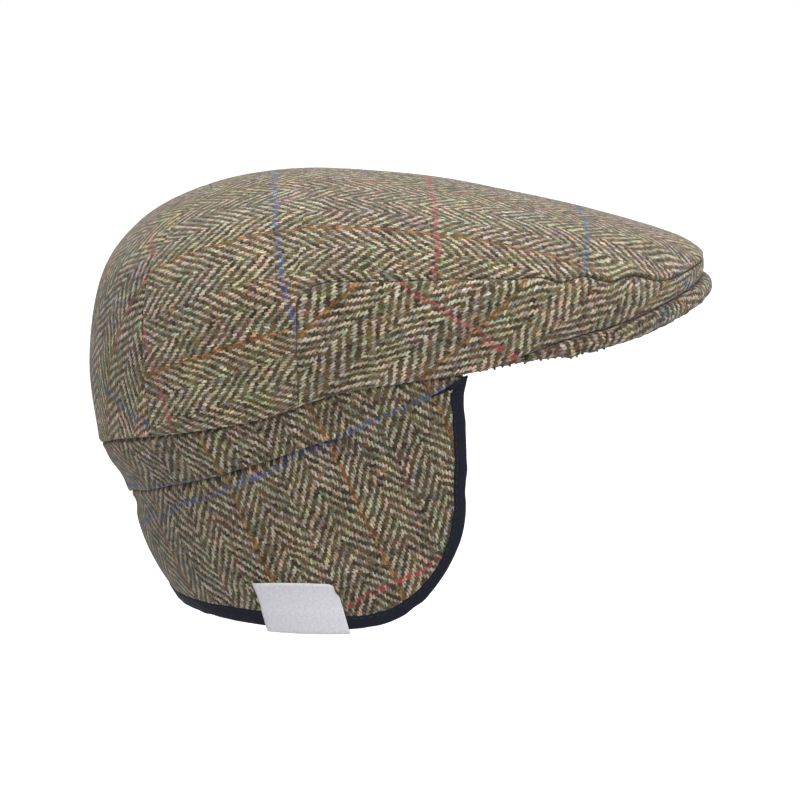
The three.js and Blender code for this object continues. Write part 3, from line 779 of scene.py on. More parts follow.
    # Lightness scales a whole piece: painted light on the crown's panels, painted shade on the flap and peak
    shade = w.times(w.math("MINIMUM", shade, s["brightest"]), given["Lightness"])
    w.feed(out["Color"], w.toned(cloth, shade))
    relief = w.add(w.times(warpUp, s["warpRelief"]), 1 - s["warpRelief"])
    relief = w.times(body, relief)
    w.feed(out["Height"], w.add(relief, w.times(fibres, s["fibreRelief"])))
    return group


def newMaterial(name, **settings):
    material = bpy.data.materials.new(name)
    material.use_nodes = True
    w = Wiring(material.node_tree)
    shader = material.node_tree.nodes["Principled BSDF"]
    for label, value in settings.items():
        shader.inputs[label].default_value = value
    return material, w, shader


woolFinish = {
    "Roughness": 0.95, "Sheen Weight": 0.22, "Sheen Roughness": 0.55, "Specular IOR Level": 0.15}
tapeFinish = {
    "Roughness": 0.7, "Sheen Weight": 0.06, "Sheen Roughness": 0.4, "Specular IOR Level": 0.25}


plainWeaveLook = {"mottleScale": 900.0, "ribTone": 0.12, "ribRelief": 0.5}


def plainWeaveGroup(s):
    # a close plain weave of one colour, with the grain given in radians to the metre
    group, w, given, out = newGroup(
        "plain weave", {"Cloth": "Vector", "Base": "Color", "Grain": 9000.0, "Mottle": 0.5},
        {"Color": "Color", "Height": "Float"})
    scaled = w.vectorMath("MULTIPLY", given["Cloth"], w.vector(given["Grain"], given["Grain"]))
    split = w.node("ShaderNodeSeparateXYZ", {0: scaled}).outputs
    ribs = w.times(w.math("SINE", split[0]), w.math("SINE", split[1]))
    mottle = w.noise(given["Cloth"], s["mottleScale"], 3.0).outputs[0]
    uneven = w.times(w.minus(mottle, 0.5), given["Mottle"])
    tone = w.add(w.times(ribs, s["ribTone"]), w.add(uneven, 1.0))
    w.feed(out["Color"], w.toned(given["Base"], tone))
    w.feed(out["Height"], w.add(w.times(ribs, s["ribRelief"]), mottle))
    return group


spunYarnLook = {"slowScale": 450.0, "fibreScale": 6000.0, "fleck": (4.0, -1.5)}


def spunYarnGroup(s):
    # wool or thread whose tone and colour wander along a strand, with finer fibres in it
    group, w, given, out = newGroup(
        "spun yarn", {"Place": "Vector", "Base": "Color", "Fleck": "Color", "Spread": 0.5},
        {"Color": "Color", "Height": "Float"})
    slow = w.noise(given["Place"], s["slowScale"]).outputs[0]
    fibres = w.noise(given["Place"], s["fibreScale"], 3.0, 0.6).outputs[0]
    dyed = w.mixed(w.clamped("MULTIPLY_ADD", slow, *s["fleck"]), given["Base"], given["Fleck"])
    uneven = w.minus(w.add(slow, fibres), 1.0)
    tone = w.math("MULTIPLY_ADD", uneven, given["Spread"], 1.0)
    w.feed(out["Color"], w.toned(dyed, tone))
    w.feed(out["Height"], fibres)
    return group


def groupMaterial(name, group, finish, relief, **inputs):
    # a material whose colour and relief come from a group, which lies on the piece's own cloth
    # UVs, or on Object coordinates where it asks for a place
    material, w, shader = newMaterial(name, **finish)
    made = w.node("ShaderNodeGroup", node_tree=group)
    if "Cloth" in made.inputs:
        w.feed(made.inputs["Cloth"], w.node("ShaderNodeUVMap", uv_map="cloth").outputs[0])
    else:
        w.feed(made.inputs["Place"], w.node("ShaderNodeTexCoord").outputs["Object"])
    for label, value in inputs.items():
        w.feed(made.inputs[label], value)
    w.feed(shader.inputs["Base Color"], made.outputs["Color"])
    raised = w.node("ShaderNodeBump", {
        "Height": made.outputs["Height"], "Strength": relief[0], "Distance": relief[1]})
    w.feed(shader.inputs["Normal"], raised.outputs[0])
    return material


herringbone = herringboneGroup(tweed)
plainWeave = plainWeaveGroup(plainWeaveLook)
spunYarn = spunYarnGroup(spunYarnLook)


def tweedMaterial(name, lightness, mottle):
    return groupMaterial(name, herringbone, woolFinish, (0.75, 0.0005),
                         Lightness=lightness, Mottle=mottle)


def plainClothMaterial(name, base, grain, mottle, depth, finish):
    return groupMaterial(name, plainWeave, finish, (depth, 0.0002),
                         Base=colour(base), Grain=grain, Mottle=mottle)


def yarnMaterial(name, base, fleck, spread, finish):
    return groupMaterial(name, spunYarn, finish, (0.4, 0.0001),
                         Base=colour(base), Fleck=colour(fleck), Spread=spread)


# The same tweed in lit and shaded copies: Lightness above 1 paints light on the crown's panels, and 0.85
# paints shade on the flap hanging below the crown's edge and on the peak under it
topTweed = tweedMaterial("crown tweed", 1.08, 0.22)
sideTweed = tweedMaterial("side tweed", 1.07, 0.18)
backTweed = tweedMaterial("back tweed", 1.07, 0.4)
shadedFlapTweed = tweedMaterial("flap tweed painted shade", 0.85, 0.12)
shadedPeakTweed = tweedMaterial("peak tweed painted shade", 0.85, 0.18)
innerCloth = plainClothMaterial("inner cloth", "2c2a28", 5200.0, 0.5, 0.4, {"Roughness": 0.9})
navyTape = plainClothMaterial("navy tape", "0c1020", 9000.0, 1.6, 0.6, tapeFinish)
paleSatin = plainClothMaterial("pale satin", "cccbd2", 12000.0, 0.5, 0.12,
                               {"Roughness": 0.45, "Sheen Weight": 0.15})
navyThread = yarnMaterial("navy thread", "0a0e1c", "141a2c", 0.7, {"Roughness": 0.6})
woolFibre = yarnMaterial("wool fibre", "8f8674", "8b8468", 0.5, woolFinish)
darkYarn = yarnMaterial("dark yarn", "4a4030", "424434", 0.6, woolFinish)
paleYarn = yarnMaterial("pale yarn", "8e8571", "8f7c68", 0.6, woolFinish)
print("materials ready")


# Geometry Nodes for what repeats: stray wool on the cloth, and stitches and yarn ends on a path

def strayWoolTree():
    # short bent fibres, closed at both ends, that stand out of the faces of the first material
    tree, w, given, out = newGroup(
        "stray wool",
        {"Geometry": "Geometry", "Density": 1.0e5, "Length": 0.001, "Radius": 3e-5, "Bend": 0.5,
         "Lean": 1.2, "Seed": 1, "Material": "Material"},
        {"Geometry": "Geometry"}, "GeometryNodeTree")
    face = w.node("FunctionNodeCompare", data_type="INT", operation="EQUAL")
    w.feed(face.inputs[2], w.node("GeometryNodeInputMaterialIndex").outputs[0])
    spots = w.node("GeometryNodeDistributePointsOnFaces", {
        "Mesh": given["Geometry"], "Selection": face.outputs[0], "Density": given["Density"],
        "Seed": given["Seed"]})
    fibre = w.node("GeometryNodeMeshCone", {
        "Vertices": 3, "Side Segments": 2, "Radius Bottom": given["Radius"], "Depth": given["Length"]})
    place = w.node("ShaderNodeSeparateXYZ", {0: w.node("GeometryNodeInputPosition").outputs[0]}).outputs
    share = w.math("DIVIDE", place[2], given["Length"])
    aside = w.times(w.times(share, share), w.times(given["Bend"], given["Length"]))
    bent = w.node("GeometryNodeSetPosition", {"Geometry": fibre.outputs[0], "Offset": w.vector(aside, 0.0)})
    spread = w.node("FunctionNodeRandomValue", {"Seed": given["Seed"]}, data_type="FLOAT_VECTOR")
    back = w.times(given["Lean"], -1.0)
    w.feed(spread.inputs[0], w.vector(back, back, -math.pi))
    w.feed(spread.inputs[1], w.vector(given["Lean"], given["Lean"], math.pi))
    turned = w.node("FunctionNodeRotateRotation", {0: spots.outputs["Rotation"], 1: spread.outputs[0]},
                    rotation_space="LOCAL")
    size = w.node("FunctionNodeRandomValue", {2: 0.4, 3: 1.3, "Seed": given["Seed"]}, data_type="FLOAT")
    grown = w.node("GeometryNodeInstanceOnPoints", {
        "Points": spots.outputs["Points"], "Instance": bent.outputs[0], "Rotation": turned.outputs[0],
        "Scale": w.vector(1.0, 1.0, size.outputs[1])})
    real = w.node("GeometryNodeRealizeInstances", {"Geometry": grown.outputs[0]})
    done = w.node("GeometryNodeSetMaterial", {"Geometry": real.outputs[0], "Material": given["Material"]})
    w.feed(out["Geometry"], done.outputs[0])
    return tree


def alongPathTree():
    # rounded bits of thread set along a path of edges
    tree, w, given, out = newGroup(
        "thread along a path",
        {"Geometry": "Geometry", "Spacing": 0.003, "Size": (0.0002, 0.0002, 0.001),
         "Turn spread": 0.0, "Size spread": 0.0, "Stray": 0.0, "Seed": 1, "Material": "Material"},
        {"Geometry": "Geometry"}, "GeometryNodeTree")

    def spread(reach, seed):
        made = w.node("FunctionNodeRandomValue", {"Seed": w.add(given["Seed"], seed)},
                      data_type="FLOAT_VECTOR")
        low = w.times(reach, -1.0)
        w.feed(made.inputs[0], w.vector(low, low, low))
        w.feed(made.inputs[1], w.vector(reach, reach, reach))
        return made.outputs[0]

    path = w.node("GeometryNodeMeshToCurve", {"Mesh": given["Geometry"]})
    spots = w.node("GeometryNodeCurveToPoints", {"Curve": path.outputs[0], "Length": given["Spacing"]},
                   mode="LENGTH")
    turned = w.node("FunctionNodeRotateRotation", {
        0: spots.outputs["Rotation"], 1: spread(given["Turn spread"], 1.0)}, rotation_space="LOCAL")
    thread = w.node("GeometryNodeMeshUVSphere", {"Segments": 8, "Rings": 5, "Radius": 1.0})
    size = w.vectorMath("ADD", spread(given["Size spread"], 2.0), (1, 1, 1))
    size = w.vectorMath("MULTIPLY", given["Size"], size)
    moved = w.node("GeometryNodeSetPosition", {
        "Geometry": spots.outputs["Points"], "Offset": spread(given["Stray"], 3.0)})
    laid = w.node("GeometryNodeInstanceOnPoints", {
        "Points": moved.outputs[0], "Instance": thread.outputs[0], "Rotation": turned.outputs[0],
        "Scale": size})
    real = w.node("GeometryNodeRealizeInstances", {"Geometry": laid.outputs[0]})
    smoothed = w.node("GeometryNodeSetShadeSmooth", {"Geometry": real.outputs[0]})
    done = w.node("GeometryNodeSetMaterial", {
        "Geometry": smoothed.outputs[0], "Material": given["Material"]})
    w.feed(out["Geometry"], done.outputs[0])
    return tree


def grown(name, source, tree, **values):
    # runs a tree on an object and gives the result as a plain mesh of its own
    modifier = source.modifiers.new(name, "NODES")
    modifier.node_group = tree
    for item in tree.interface.items_tree:
        if item.item_type == "SOCKET" and item.in_out == "INPUT" and item.name in values:
            modifier[item.identifier] = values[item.name]
    graph = bpy.context.evaluated_depsgraph_get()
    mesh = bpy.data.meshes.new_from_object(source.evaluated_get(graph))
    source.modifiers.remove(modifier)
    print(f"{name}: {len(mesh.polygons)} faces")
    return placed(name, mesh)


def threadsOn(name, points, **values):
    # threads along a line of points in millimetres
    mesh = bpy.data.meshes.new(name + "_path")
    steps = [(k, k + 1) for k in range(len(points) - 1)]
    mesh.from_pydata((np.asarray(points) * mm).tolist(), steps, [])
    path = placed(name + "_path", mesh)
    made = grown(name, path, threadOnPath, **values)
    bpy.data.objects.remove(path)
    return made


wool = {"Density": 1.5e5, "Length": 0.0015, "Radius": 3.4e-5, "Bend": 0.5, "Lean": 1.15}
strayWool = strayWoolTree()
threadOnPath = alongPathTree()


def woolOn(piece, seed):
    return grown(piece.name.replace("_cloth", "").replace("_cover", "") + "_wool", piece, strayWool,
                 Seed=seed, Material=woolFibre, **wool)


# Turning a flat cut onto the weave. turn is the angle from the cut's own across direction to
# the weft, skew and stretch are how a bias cut has given, and shift moves the cut so that its
# overchecks fall where they should.

def onWeave(flat, cut):
    turn = math.radians(cut["turn"])
    cosine, sine = math.cos(turn), math.sin(turn)
    if cut.get("mirror"):
        flat = flat * np.array([-1, 1])
    woven = flat @ np.array([[cosine, sine], [-sine, cosine]])
    woven[:, 1] += cut.get("skew", 0) * woven[:, 0]
    return woven / np.array(cut.get("stretch", (1, 1))) + np.array(cut["shift"])


def lumps(points, size, seed=0):
    # smooth random values at points
    offset = Vector((seed * 17.3, seed * 5.1, seed * 9.7))
    return np.array([noise.noise(Vector(p) / size + offset) for p in points])


def declare(piece, node, extras=()):
    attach(piece, "root")
    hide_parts(node)
    for extra in extras:
        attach(extra, "root")


# Crown

cloth = {
    "step": 2.2,
    "lump": 0.5, "lumpSize": 34.0,  # slow unevenness of the cloth, in millimetres
    "measuredRise": 0.2,  # where a panel's width is measured
}

sidePanel = {"lap": 1.0, "turn": 46.0, "skew": -0.226, "stretch": (1.13, 1.13), "shift": (33.7, 30.1)}

panels = {
    "crown_top": {"seed": 1, "lap": -1.0, "turn": 90.0, "shift": (-73.4, 24.8), "seams": [
        "rim", "topSeam", "rearRight", "rearLeft", "archLeft", "archRight", "archTop"]},
    "side_panel_right": {**sidePanel, "seed": 2, "seams": ["rim", "topSeam", "rearRight", "frontSeam"]},
    "side_panel_left": {**sidePanel, "seed": 3, "mirror": True, "seams": [
        "rim", "topSeam", "rearLeft", "frontSeam"]},
    "back_panel": {"seed": 4, "turn": 20.0, "shift": (-40.0, -1.8), "seams": [
        "rim", "archLeft", "archRight", "archTop"]},
}


def rowShares(low, high, angle, step, closeStart, closeEnd):
    return evenShares(lambda t: crownSurface(0 * t + angle, mix(low, high, t)), step,
                      closeStart, closeEnd)


def widthBetween(start, end, count):
    # distance along the crown from one angle to another
    angles = np.linspace(start, end, count)
    return walkedAlong(crownSurface(angles, 0 * angles + cloth["measuredRise"]))[-1]


def crownTopPatches(step):
    seamLength, seamRaw = evenly(lambda s: crownSurface(mix(-side, side, s),
                                                        sideSeamRise(mix(-side, side, s))))
    corner, share = seams["cornerRise"], seams["flankShare"]
    lowRows = share * rowShares(corner, flankTop, side, step, True, False)
    highRows = share + (1 - share) * rowShares(flankTop, 1, side, step, True, False)
    rimRows = rowShares(0, corner, side, step, True, False)
    flankColumns = spaced(widthBetween(side, archAngleAt(cloth["measuredRise"]), 60), step)
    archColumns = evenShares(lambda s: crownSurface(
        mix(flankEnd, 360 - flankEnd, s), archRiseAt(mix(flankEnd, 360 - flankEnd, s))), step, False, False)

    def front(s, t):
        angle = mix(-side, side, seamRaw(s))
        return angle, mix(sideSeamRise(angle), 1, t)

    def flank(low, high, mirror):
        def place(s, t):
            rise = mix(low, high, t)
            angle = mix(side, archAngleAt(rise), 1 - s if mirror else s)
            return (360 - angle if mirror else angle), rise
        return place

    def rear(mirror):
        def place(s, t):
            angle = mix(side, flankEnd, 1 - s if mirror else s)
            return (360 - angle if mirror else angle), mix(flankTop, 1, t)
        return place

    def arch(s, t):
        angle = mix(flankEnd, 360 - flankEnd, s)
        return angle, mix(archRiseAt(angle), 1, t)

    above = (highRows - share) / (1 - share)
    beside = lowRows / share
    made = [patch(front, spaced(seamLength, step), np.concatenate([lowRows, highRows[1:]]), (40, 10))]
    for mirror in (False, True):
        columns = 1 - flankColumns[::-1] if mirror else flankColumns
        made.append(patch(flank(0, corner, mirror), columns, rimRows, (6, 4)))
        made.append(patch(flank(corner, flankTop, mirror), columns, beside, (6, 4)))
        made.append(patch(rear(mirror), columns, above, (6, 6)))
    made.append(patch(arch, archColumns, above, (10, 6)))
    return made


def sidePanelPatches(step, mirror):
    seamLength, seamRaw = evenly(lambda s: crownSurface(side * s, sideSeamRise(side * s)))
    columns = spaced(seamLength, step)
    rows = rowShares(0, seams["sideRise"], 60, step, True, True)

    def place(s, t):
        raw = seamRaw(1 - s) if mirror else seamRaw(s)
        angle = side * raw
        return (-angle if mirror else angle), t * sideSeamRise(angle)

    return [patch(place, 1 - columns[::-1] if mirror else columns, rows, (26, 6))]


def backPanelPatches(step):
    rimRows = rowShares(0, flankTop, 180, step, True, False)
    aboveRows = rowShares(flankTop, seams["archRise"], 180, step, False, True)
    edge = archAngleAt(cloth["measuredRise"])
    columns = spaced(widthBetween(edge, 360 - edge, 90), step)

    def lower(s, t):
        flank = archAngleAt(flankTop * t)
        return mix(flank, 360 - flank, s), flankTop * t

    def upper(s, t):
        angle = mix(flankEnd, 360 - flankEnd, s)
        return angle, mix(flankTop, archRiseAt(angle), t)

    return [patch(lower, columns, rimRows, (12, 8)), patch(upper, columns, aboveRows, (12, 3))]


def meridianGuess(angle, rise, points):
    # the crown rolled out flat from its top
    count = 41
    rises = mix(rise[None, :], 1, np.linspace(0, 1, count)[:, None])
    walk = crownSurface(np.tile(angle, count), rises.ravel()).reshape(count, -1, 3)
    away = np.linalg.norm(np.diff(walk, axis=0), axis=2).sum(0)
    return unit(points[:, :2] - np.array([crown["axisX"], 0])) * away[:, None]


crownGuess = {
    "crown_top": meridianGuess,
    "side_panel_right": lambda angle, rise, p: np.stack([p[:, 0], p[:, 2]], axis=1),
    "side_panel_left": lambda angle, rise, p: np.stack([-p[:, 0], p[:, 2]], axis=1),
    "back_panel": lambda angle, rise, p: np.stack([-p[:, 1], p[:, 2]], axis=1),
}


def makePanel(name, patches, material):
    cut = panels[name]
    sheet = weld(patches, crownSurface, crownNormal)
    flat = layOut(patches, crownSurface, crownNormal, crownGuess[name], sheet)
    sunk = seamSunk(sheet["points"], cut["seams"])
    sunk += cloth["lump"] * lumps(sheet["points"], cloth["lumpSize"], 3)
    sunk += lapped(sheet["points"]) * cut.get("lap", 0)
    surface = sheet["points"]
    if "topSeam" in cut["seams"]:
        sheet["points"] = swayed(sheet["points"], sheet["normals"])
    thickness = crown["cloth"] + roll["turnDepth"] * seamTurn(surface, cut["seams"])
    tuck = 0.0
    if name != "crown_top":
        under = seamTurn(surface, [seam for seam in cut["seams"] if seam != "frontSeam"])
        thickness += roll["tuckDepth"] * under
        tuck = roll["tuck"] * under
    piece = clothShell(name + "_cloth", sheet, onWeave(flat, cut), sunk, thickness,
                       [material, innerCloth], tuck=tuck)
    size, area = cutSize(name, flat, sheet["quads"])
    declare(piece, name, [woolOn(piece, cut["seed"])])


crownStep = cloth["step"]
makePanel("crown_top", crownTopPatches(crownStep), topTweed)
makePanel("side_panel_right", sidePanelPatches(crownStep, True), sideTweed)
makePanel("side_panel_left", sidePanelPatches(crownStep, False), sideTweed)
makePanel("back_panel", backPanelPatches(crownStep), backTweed)


# Earflap

flap = {
    "cloth": 3.0, "step": 2.2, "closeStep": 0.6, "closeGap": 0.4,
    "rowsAt": 0.4,  # the column on which rows are spaced
    "edgePlace": 1.0, "edgeRows": (-4.5, 1.0),  # level of the crown's edge, and the close rows round it
    "bottomBack": -102.0, "bottomSide": -103.0, "sideAngle": 88.0, "backAngle": 176.0,
    "frontX": 45.4, "cornerStartX": 0.0, "cornerHeight": 53.0, "cornerShare": 0.17, "hemMargin": 1.1,
    # share of the drop and distance inside the crown's edge at each level, from tuck to bottom
    "backShare": [-0.11, 0.0, 0.07, 0.2, 0.335, 0.37, 0.5, 0.64, 0.82, 1.0],
    "sideShare": [-0.075, 0.0, 0.05, 0.12, 0.2, 0.225, 0.4, 0.58, 0.8, 1.0],
    "backInset": [3.4, 2.6, 3.3, 8.4, 13.4, 15.4, 16.8, 19.8, 25.8, 33.5],
    "sideInset": [3.2, 2.6, 2.3, 2.6, 3.6, 4.2, 4.0, 4.6, 6.2, 9.0],
    # how far it stands out just below the crown's edge, from how near, and how far down
    "hug": 1.5, "hugFrom": 1.6, "hugReach": 3.0,
    "lump": 0.6, "lumpSize": 30.0, "guessRadius": 85.0,
    "turn": -12.0, "stretch": (1.08, 1.0), "shift": (-4.2, -24.2),
    # weave lost in the fold, along the band, from a little below the crease upwards
    "swallowed": 0.2, "swallowFrom": 335.0, "swallowTo": 228.0, "swallowBelow": 0.6,
}

fold = {
    "place": 3.95, "closeRows": (-4.5, 4.0),  # its level, counted from the tuck, and its close rows
    "wander": 0.8, "wanderLength": 21.0,
    "fadeFrom": -30.0, "fadeTo": 12.0,  # x over which the fold dies away
    # depth drawn in, reach, and distance below the crease: the hollow above, the part under the
    # lip, and the crease itself
    "drawn": [(0.9, 6.5, -5.5), (1.5, 1.2, 0.8), (1.5, 0.75, 0.5)],
    "tunnel": (1.4, 2.6, 2.8), "tunnelFrom": -100.0, "tunnelFull": -70.0,  # not at the back
    "hang": (0.9, 1.2, -0.9), "lift": (0.5, 1.2, 1.4),  # the lip hangs, and the cloth under it rises
    "lipWave": 0.3, "lipWaveLength": 9.0, "lipReach": 5.0, "lipPlace": -2.0,
}


def backness(angle):
    return smooth(flap["sideAngle"], flap["backAngle"], folded(angle))


def flapBottom(angle):
    return mix(flap["bottomSide"], flap["bottomBack"], backness(angle))


def flapSurface(angle, height):
    rim = levelHeight(0, angle)
    share = (rim - height) / (rim - flapBottom(angle))
    inset = mix(cubicAlong(flap["sideShare"], flap["sideInset"], share),
                cubicAlong(flap["backShare"], flap["backInset"], share), backness(angle))
    under = rim - height
    inset = inset - flap["hug"] * smooth(0.0, flap["hugFrom"], under) * bump(under, flap["hugReach"])
    reach = planReach(angle, crown["back"][0] - inset, crown["front"][0] - inset,
                      crown["halfWidth"][0] - inset, crown["power"][0])
    return placeAt(angle, reach, height)


def flapNormal(angle, height):
    return surfaceNormal(flapSurface, angle, height, 0.5, 0.5)


def flapHeight(angle, place, bottom):
    levels = np.arange(len(flap["backShare"]))
    share = mix(np.interp(place, levels, flap["sideShare"]),
                np.interp(place, levels, flap["backShare"]), backness(angle))
    return mix(levelHeight(0, angle), bottom, share)


def flapAngleAt(x, heightAt):
    # the angle at which the flap passes a given x on the wearer's left
    low, high = np.zeros_like(x), np.full_like(x, 180.0)
    for _ in range(26):
        middle = (low + high) / 2
        before = flapSurface(middle, heightAt(middle))[:, 0] > x
        low, high = np.where(before, middle, low), np.where(before, high, middle)
    return low


flapStartAngle = flapAngleAt(np.array([flap["cornerStartX"]]), flapBottom)[0]


def flapPlace(column, place):
    # column runs from 0 at the left front edge round the back to 1 at the right one, and place
    # counts levels from the tuck. The hem climbs to the front edges in quarters of an ellipse.
    f = flap
    half = np.minimum(column, 1 - column) * 2
    beside = np.minimum(half / f["cornerShare"], 1)
    turn = np.radians(90 * (1 - beside))
    x = f["cornerStartX"] + (f["frontX"] - f["hemMargin"] - f["cornerStartX"]) * np.sin(turn)
    climb = (f["cornerHeight"] - f["hemMargin"]) * (1 - np.cos(turn))
    cornerBottom = f["bottomSide"] + f["hemMargin"] + climb
    cornerAngle = flapAngleAt(x, lambda angle: flapHeight(angle, place, cornerBottom))
    backAngle = mix(flapStartAngle, 180, np.clip((half - f["cornerShare"]) / (1 - f["cornerShare"]), 0, 1))
    inCorner = half < f["cornerShare"]
    angle = np.where(inCorner, cornerAngle, backAngle)
    bottom = np.where(inCorner, cornerBottom, flapBottom(backAngle) + f["hemMargin"])
    height = flapHeight(angle, place, bottom)
    return np.where(column > 0.5, 360 - angle, angle), height


lastPlace = len(flap["backShare"]) - 1.0


def flapHem(column):
    return flapSurface(*flapPlace(column, np.full_like(column, lastPlace)))


hemLength, hemRaw = evenly(flapHem)


def flapPatches(step):
    columns = spaced(hemLength, step, False, False)

    def dropAt(t):
        return flapSurface(*flapPlace(np.full_like(t, flap["rowsAt"]), lastPlace * (1 - t)))

    # rows at even distances, closer together at the fold and just below the crown's edge
    length, rawAt = evenly(dropAt)
    shares = np.linspace(0, 1, 2001)
    walked = spaced(length, step, False, False) * length
    for place, (low, high) in ((fold["place"], fold["closeRows"]), (flap["edgePlace"], flap["edgeRows"])):
        middle = np.interp(1 - place / lastPlace, rawAt(shares), shares * length)
        near = middle + np.arange(low, high, flap["closeStep"])
        clear = flap["closeGap"]
        kept = walked[(walked < near[0] - clear) | (walked > near[-1] + clear)]
        walked = np.concatenate([kept, near])
    rows = rawAt(np.sort(walked) / length)
    return [patch(lambda s, t: flapPlace(hemRaw(s), lastPlace * (1 - t)), columns, rows, (40, 18))]


def foldFlap(sheet):
    # the band above the fold bulges and hangs over the part below, which starts a little inside
    f, points, normals = fold, sheet["points"], sheet["normals"]
    count = 900
    column = np.linspace(0.02, 0.98, count)
    line = SeamLine(flapSurface(*flapPlace(column, np.full(count, f["place"]))))
    away, walked = line.near(points)
    lineHeight = np.interp(walked, line.walked, line.points[:, 2])
    below = np.where(points[:, 2] > lineHeight, -away, away)
    below -= f["wander"] * lineNoise(walked, f["wanderLength"], 77)

    def raised(height, reach, place):
        return height * bump(below, reach, place)

    strength = 1 - smooth(f["fadeFrom"], f["fadeTo"], points[:, 0])
    drawn = sum(raised(*part) for part in f["drawn"])
    drawn += raised(*f["tunnel"]) * smooth(f["tunnelFrom"], f["tunnelFull"], points[:, 0])
    drop = raised(*f["hang"]) - raised(*f["lift"])
    down = unit(np.cross(normals, np.cross(normals, np.array([0, 0, 1.0]))))
    moved = down * drop[:, None] - normals * drawn[:, None]
    sheet["points"] = points + moved * strength[:, None]
    return below, strength


print("flap surface ready")


pinch = {
    # how the tape draws the flap's free edge together, from just under the crown's edge
    "edgeThickness": 2.3, "reach": 6.0, "sink": 0.35, "ripple": 0.22, "rippleLength": 6.0,
    "topPlace": 1.06,
}


def freeEdgePlaces():
    # the free edge of the flap from the left front down, round the hem and up the right front
    down = np.linspace(pinch["topPlace"], lastPlace, 60)
    onHem = hemRaw(np.linspace(0, 1, 900))[1:-1]
    column = np.concatenate([0 * down, onHem, 0 * down + 1])
    place = np.concatenate([down, np.full(len(onHem), lastPlace), down[::-1]])
    return column, place


freeEdge = freeEdgePlaces()
freeLine = SeamLine(flapSurface(*flapPlace(*freeEdge)))
freeNormals = flapNormal(*flapPlace(*freeEdge))


def makeFlap():
    patches = flapPatches(flap["step"])
    sheet = weld(patches, flapSurface, flapNormal)

    def guess(angle, height, points):
        return np.stack([np.radians(angle) * flap["guessRadius"], height], axis=1)

    flat = layOut(patches, flapSurface, flapNormal, guess, sheet)
    away, walked = freeLine.near(sheet["points"])
    below, strength = foldFlap(sheet)
    held = bump(away, pinch["reach"])
    sunk = held * (pinch["sink"] + pinch["ripple"] * lineNoise(walked, pinch["rippleLength"], 51))
    sunk += flap["lump"] * lumps(sheet["points"], flap["lumpSize"], 8) * (1 - held)
    lip = bump(below, fold["lipReach"], fold["lipPlace"]) * strength
    sunk += fold["lipWave"] * lineNoise(walked, fold["lipWaveLength"], 52) * lip
    thickness = mix(flap["cloth"], pinch["edgeThickness"] + pinch["sink"], held)
    woven = onWeave(flat, flap)
    lost = flap["swallowFrom"] - np.clip(woven[:, 0], flap["swallowTo"], flap["swallowFrom"])
    slip = np.where(below < flap["swallowBelow"], -flap["swallowed"] * lost, 0)
    piece = clothShell("earflap_cloth", sheet, woven, sunk, thickness, [shadedFlapTweed, innerCloth], slip)
    return piece, *cutSize("earflap", flat, sheet["quads"])


def sweep(name, sections, uvAlong, uvAcross, material):
    # a closed solid through sections of equal point counts, with flat ends
    sections = np.asarray(sections)
    count, size = sections.shape[:2]
    faces, uvs = [], []

    def corner(i, j):
        return (uvAlong[i], uvAcross[j] if j < size else uvAcross[-1])

    for i in range(count - 1):
        for j in range(size):
            k = (j + 1) % size
            faces.append([i * size + j, i * size + k, (i + 1) * size + k, (i + 1) * size + j])
            uvs += [corner(i, j), corner(i, j + 1), corner(i + 1, j + 1), corner(i + 1, j)]
    last = (count - 1) * size
    faces += [list(reversed(range(size))), [last + j for j in range(size)]]
    uvs += [corner(0, j) for j in reversed(range(size))] + [corner(count - 1, j) for j in range(size)]
    return meshObject(name, sections.reshape(-1, 3), faces, uvs, [material])


def alongEdge(line, normals, distances):
    # position, tangent, out of the cloth and away from the flap at distances along its free edge
    def at(d):
        return np.stack([np.interp(d, line.walked, line.points[:, k]) for k in range(3)], axis=1)

    position = at(distances)
    along = unit(at(distances + 1.0) - at(distances - 1.0))
    normal = np.stack([np.interp(distances, line.walked, normals[:, k]) for k in range(3)], axis=1)
    away = unit(np.cross(along, normal))
    return position, along, np.cross(away, along), away


# Binding: a tape folded round the flap's free edge and stitched through

binding = {
    "leg": 3.5, "proud": 0.62, "edge": 1.9, "step": 1.6, "stitchAt": 1.1,
    "hemZ": -98.0, "hemFrom": -80.0,  # the heights between which the edge becomes the hem
    "fullness": 1.2, "fullestX": -20.0, "fullReach": 36.0,  # wider still along the hem under the ears
    # how far the front edges stand out, by height, and how much further in its legs reach there
    "edgeZ": [-60.0, -45.0, -28.0, -14.0, -5.0, 2.0, 8.0],
    "edgeOut": [0.0, 0.0, 0.4, -0.6, -1.3, 0.3, 0.6],
    "edgeIn": [0.0, 0.0, 0.0, 0.8, 2.0, 2.2, 2.2],
    "rearIn": 1.3, "rearFrom": -25.0, "rearTo": -46.0,  # how much further in along the rear hem
    # waves of its legs' edges, of its bend and of its thickness: size, length and seed
    "legWaves": [(0.22, 7.0, 61), (0.12, 2.4, 62)], "bendWave": (0.3, 5.0, 64), "swell": (0.16, 4.0, 63),
    "slant": 0.75, "slantReach": 6.0,  # the tape's ends are cut slanting down towards the cloth
    "stitch": 2.4, "stitchGap": 1.0, "threadRadius": 0.17, "stitchStray": 0.05,
}


def walkedRound(profile):
    # distance walked round a closed profile, up to and including its return to the start
    return walkedAlong(np.concatenate([profile, profile[:1]]))


